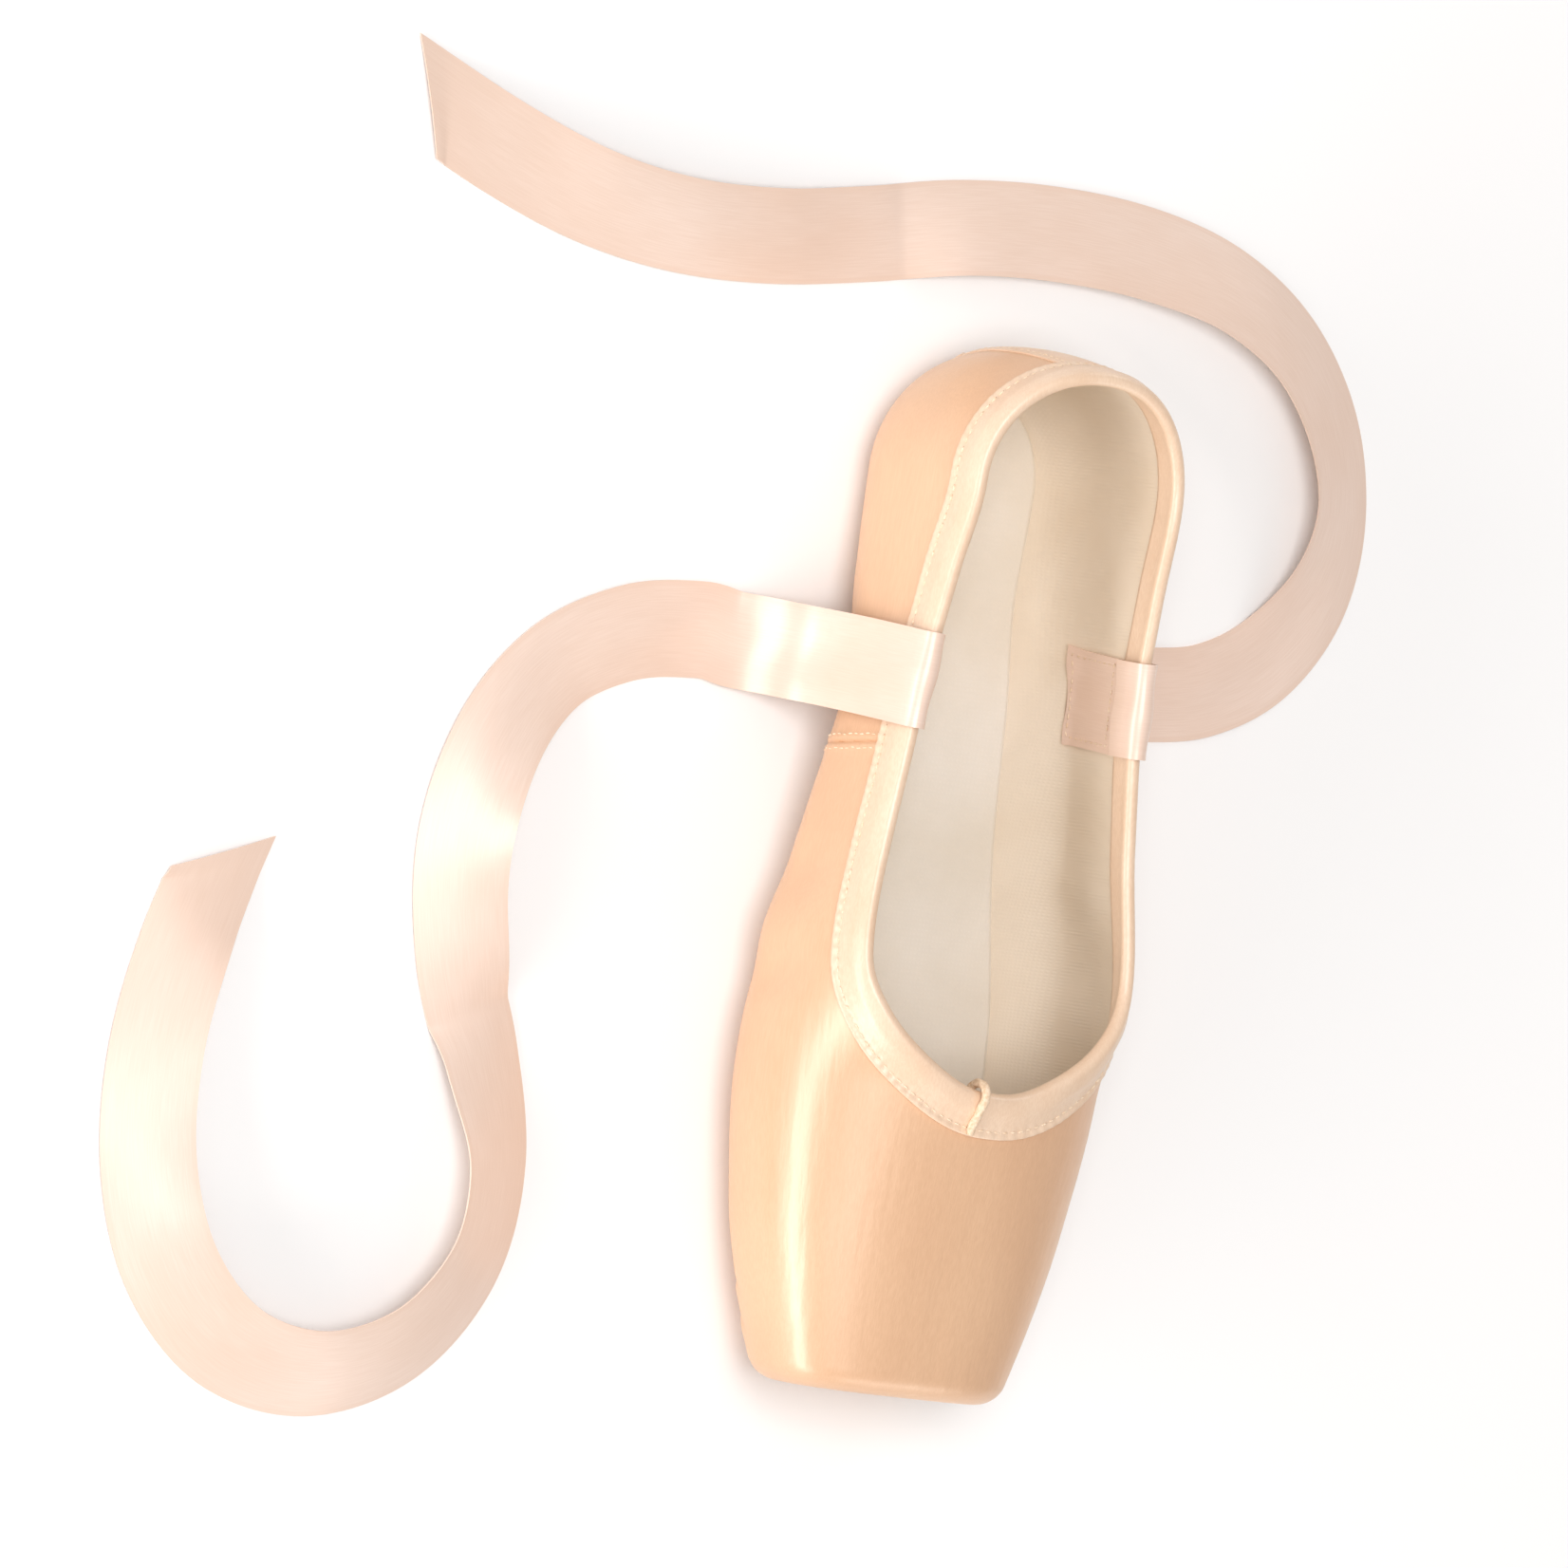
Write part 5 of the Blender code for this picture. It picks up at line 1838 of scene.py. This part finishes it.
    def build_end(self, finishes: Finishes, stitches: StitchRows) -> bpy.types.Object:
        """The sewn end against the lining, with a stitched square."""
        upper = self.upper
        number, point, along = self.collar_frame()
        out, into, wall = upper.rim_out[number], upper.rim_in[number], float(upper.rim_wall[number])
        rows, rings, strip = 25, [], []
        shares = np.linspace(-1.0, 1.0, self.columns)

        def laid(depth: float, share: float, lift: float) -> np.ndarray:
            """Point on the lining below the collar."""
            place, normal, _, _ = upper.tree.find_nearest(
                Vector(point + into * depth + along * share * self.width / 2))
            return np.array(place) - np.array(normal) * (wall + lift)

        for row in range(rows):
            depth = 7.6 * MM + self.sewn * row / (rows - 1)
            waves = 0.08 * MM * np.sin(shares * 9 + row * 0.3)
            over = [laid(depth, share, self.lining + self.thickness + wave)
                    for share, wave in zip(shares, waves)]
            under = [laid(depth, share, SEAT) for share in shares]
            rings.append(over + under[::-1])
            line = np.stack([shares * self.width / 2, np.full(self.columns, depth)], 1)
            strip.append(np.concatenate([line, line[::-1]]))
        item = tube_piece("sewn_ribbon_" + self.end_name, np.array(rings), sharp=60.0)
        self.add_strip(item, np.array(strip).reshape(-1, 2))
        square = [(10.0, -0.84), (27.5, -0.84), (27.5, 0.84), (10.0, 0.84), (10.0, -0.84)]
        line, facing = [], []
        for (first, left), (second, right) in zip(square, square[1:]):
            for step in np.linspace(0.0, 1.0, 13)[:-1]:
                depth, share = (first + (second - first) * step) * MM, left + (right - left) * step
                line.append(laid(depth, share, self.lining + self.thickness + 0.1 * MM))
                facing.append(-out)
        stitches.add_line(np.array(line + line[:1]), np.array(facing + facing[:1]))
        return dressed(item, finishes.ribbon, Slot.RIBBON, "ribbon_end_" + self.end_name)


@dataclass
class Seams:
    """Stitched rows either side of the side seams and the keel seam."""

    upper: Upper
    offset: float = 1.7 * MM
    top: float = 37 * MM
    keel: tuple = (119.5, 187.0)

    def add_to(self, stitches: StitchRows) -> None:
        """Lay two rows along each seam on the satin.

        Args:
            stitches: Rows that take the stitches.
        """
        for side in Side:
            line = self.upper.seam_line(side)
            line = line[line[:, 2] < self.top]
            for away in (-self.offset, self.offset):
                self.lay(stitches, line, away)
        for away in (-self.offset, self.offset):
            self.lay(stitches, self.upper.keel_line(*self.keel), away)

    def lay(self, stitches: StitchRows, line: np.ndarray, away: float) -> None:
        """One row beside a line.

        Args:
            stitches: Rows that take the stitches.
            line: Points of the line.
            away: How far beside it.
        """
        points, facing = [], []
        for point, along in zip(line, directions(line)):
            _, normal, _, _ = self.upper.tree.find_nearest(Vector(point))
            beside = point + unit(np.cross(np.array(normal), along)) * away
            place, normal, _, _ = self.upper.tree.find_nearest(Vector(beside))
            points.append(np.array(place + normal * 0.04 * MM))
            facing.append(np.array(normal))
        stitches.add_line(np.array(points), np.array(facing))


@dataclass
class Studio:
    """Camera at the photograph's angle to the shoe, pale floor and soft studio light."""

    lean: float = 35.0
    roll: float = 8.0
    distance: float = 3.2
    view_width: float = 0.356
    aim: tuple = (-0.042, 0.014, 0.012)
    floor_colour: str = "FCFBFB"

    def axes(self) -> tuple[Vector, Vector, Vector]:
        """Right, up and backward axes of the camera.

        Returns:
            The three unit vectors.
        """
        lean, roll = math.radians(self.lean), math.radians(self.roll)
        back = Vector((-math.sin(lean), 0.0, math.cos(lean)))
        level = Vector((math.cos(lean), 0.0, math.sin(lean)))
        up = Vector((0.0, 1.0, 0.0)) * math.cos(roll) - level * math.sin(roll)
        return up.cross(back), up, back

    def set_camera(self) -> bpy.types.Object:
        """Long lens, so that the view is nearly parallel as in the photograph.

        Returns:
            The camera.
        """
        data = bpy.data.cameras.new("camera")
        data.sensor_width = 36.0
        data.lens = data.sensor_width * self.distance / self.view_width
        item = bpy.data.objects.new("camera", data)
        bpy.context.scene.collection.objects.link(item)
        right, up, back = self.axes()
        turned = Matrix((right, up, back)).transposed().to_4x4()
        item.matrix_world = Matrix.Translation(Vector(self.aim) + back * self.distance) @ turned
        data.clip_end = 50.0
        bpy.context.scene.camera = item
        return item

    def add_light(self, name: str, place: tuple, size: tuple, power: float, colour: str) -> None:
        """Soft rectangular light that faces the shoe.

        Args:
            name: Its name.
            place: Where it hangs.
            size: Its two sides.
            power: Watts.
            colour: Hex colour.
        """
        data = bpy.data.lights.new(name, "AREA")
        data.shape = "RECTANGLE"
        data.size, data.size_y = size
        data.energy = power
        data.color = linear(colour)[:3]
        item = bpy.data.objects.new(name, data)
        bpy.context.scene.collection.objects.link(item)
        item.location = place
        item.rotation_euler = (-Vector(place)).to_track_quat("-Z", "Y").to_euler()
        item.visible_camera = False

    def build(self) -> None:
        """Floor, lights and a plain bright surround."""
        reach = 6.0
        mesh = bpy.data.meshes.new("floor")
        mesh.from_pydata([(-reach, -reach, 0), (reach, -reach, 0), (reach, reach, 0), (-reach, reach, 0)],
                         [], [(0, 1, 2, 3)])
        floor = link("floor", mesh)
        material = bpy.data.materials.new("matt_paper")
        material.use_nodes = True
        shader = material.node_tree.nodes["Principled BSDF"]
        shader.inputs["Base Color"].default_value = linear(self.floor_colour)
        shader.inputs["Roughness"].default_value = 0.9
        mesh.materials.append(material)
        world = bpy.context.scene.world or bpy.data.worlds.new("studio")
        bpy.context.scene.world = world
        world.use_nodes = True
        backdrop = world.node_tree.nodes["Background"]
        backdrop.inputs["Color"].default_value = linear("FFFDFB")
        backdrop.inputs["Strength"].default_value = 0.43
        self.add_light("key_left", (-2.25, -0.95, 0.55), (3.4, 0.65), 46.0, "FFFDFB")
        self.add_light("overhead", (-0.9, 0.2, 2.1), (1.3, 1.3), 30.0, "FFFFFF")
        self.add_light("front_strip", (0.9, -2.2, 0.8), (1.6, 0.30), 9.0, "FFFBF7")
        self.add_light("back_strip", (1.3, 2.1, 0.9), (1.6, 0.30), 9.0, "FFFBF7")
        bpy.context.scene.view_settings.view_transform = "Standard"


RIGHT_RIBBON_FLOOR = (
    (0.1074, 0.0165), (0.1426, 0.0363), (0.1668, 0.0715), (0.1733, 0.1154), (0.1602, 0.1594),
    (0.1294, 0.1968), (0.0854, 0.2209), (0.0327, 0.2319), (-0.0245, 0.2341), (-0.0816, 0.2297),
    (-0.1387, 0.2187), (-0.1959, 0.2099), (-0.2530, 0.2077), (-0.3080, 0.2143),
    (-0.3607, 0.2297), (-0.4113, 0.2495),
)
LEFT_RIBBON_FLOOR = (
    (-0.1118, 0.0034), (-0.1536, -0.0186), (-0.1843, -0.0582), (-0.1975, -0.1087),
    (-0.1887, -0.1637), (-0.1668, -0.2142), (-0.1514, -0.2670), (-0.1580, -0.3175),
    (-0.1909, -0.3593), (-0.2415, -0.3791), (-0.2942, -0.3703), (-0.3338, -0.3351),
    (-0.3536, -0.2868), (-0.3580, -0.2340), (-0.3492, -0.1813), (-0.3316, -0.1307),
)


def report(item: bpy.types.Object) -> None:
    """Log a finished piece and how many faces it has."""
    log.info("%s: %d faces", item.name, len(item.data.polygons))


def main() -> None:
    """Build the studio and every piece of the shoe, and report each."""
    studio = Studio()
    studio.set_camera()
    finishes = Finishes()
    last = Last()
    tree = stitch_tree()
    satin_rows = StitchRows(tree, "seam_stitches", finishes.seam_thread, pitch=2.1 * MM, length=1.5 * MM,
                            thickness=0.38 * MM)
    tape_rows = StitchRows(tree, "tape_stitches", finishes.seam_thread)
    ribbon_rows = StitchRows(tree, "ribbon_stitches", finishes.seam_thread, pitch=2.0 * MM,
                             length=1.4 * MM, thickness=0.36 * MM)
    patch_rows = StitchRows(tree, "heel_patch_stitches", finishes.sole_thread, pitch=2.3 * MM,
                            length=1.6 * MM, thickness=0.5 * MM)
    upper = Upper(last)
    report(upper.build(finishes))
    ribbons = (Ribbon(upper, Side.RIGHT, 0.449, RIGHT_RIBBON_FLOOR),
               Ribbon(upper, Side.LEFT, 0.459, LEFT_RIBBON_FLOOR))
    for ribbon in ribbons:
        report(ribbon.build(finishes))
        report(ribbon.build_end(finishes, ribbon_rows))
    report(Lining(upper).build(finishes))
    binding = Binding(upper)
    report(binding.build(finishes, tape_rows))
    report(BackStrip(upper).build(finishes, tape_rows))
    report(Drawstring(binding).build(finishes))
    report(Insole(last).build(finishes))
    half = last.ball_width / 2
    forefoot = Patch("forefoot_patch", "outsole_forefoot", last, 0.100 * last.length,
                     0.392 * last.length, 0.689 * half, 0.716)
    report(forefoot.build(finishes))
    heel = Patch("heel_patch", "outsole_heel", last, 0.783 * last.length, 0.192 * last.length,
                 0.422 * half, 0.920, rows=220, columns=71, scored=(20.0, 42.0),
                 stitch_inset=2.4 * MM)
    report(heel.build(finishes))
    heel.stitch_line(patch_rows)
    Seams(upper).add_to(satin_rows)
    rows = ((satin_rows, Slot.SATIN), (tape_rows, Slot.TAPE), (ribbon_rows, Slot.RIBBON),
            (patch_rows, Slot.LEATHER))
    for stitches, slot in rows:
        report(stitches.build(slot))
    studio.build()


if __name__ == "__main__":
    main()
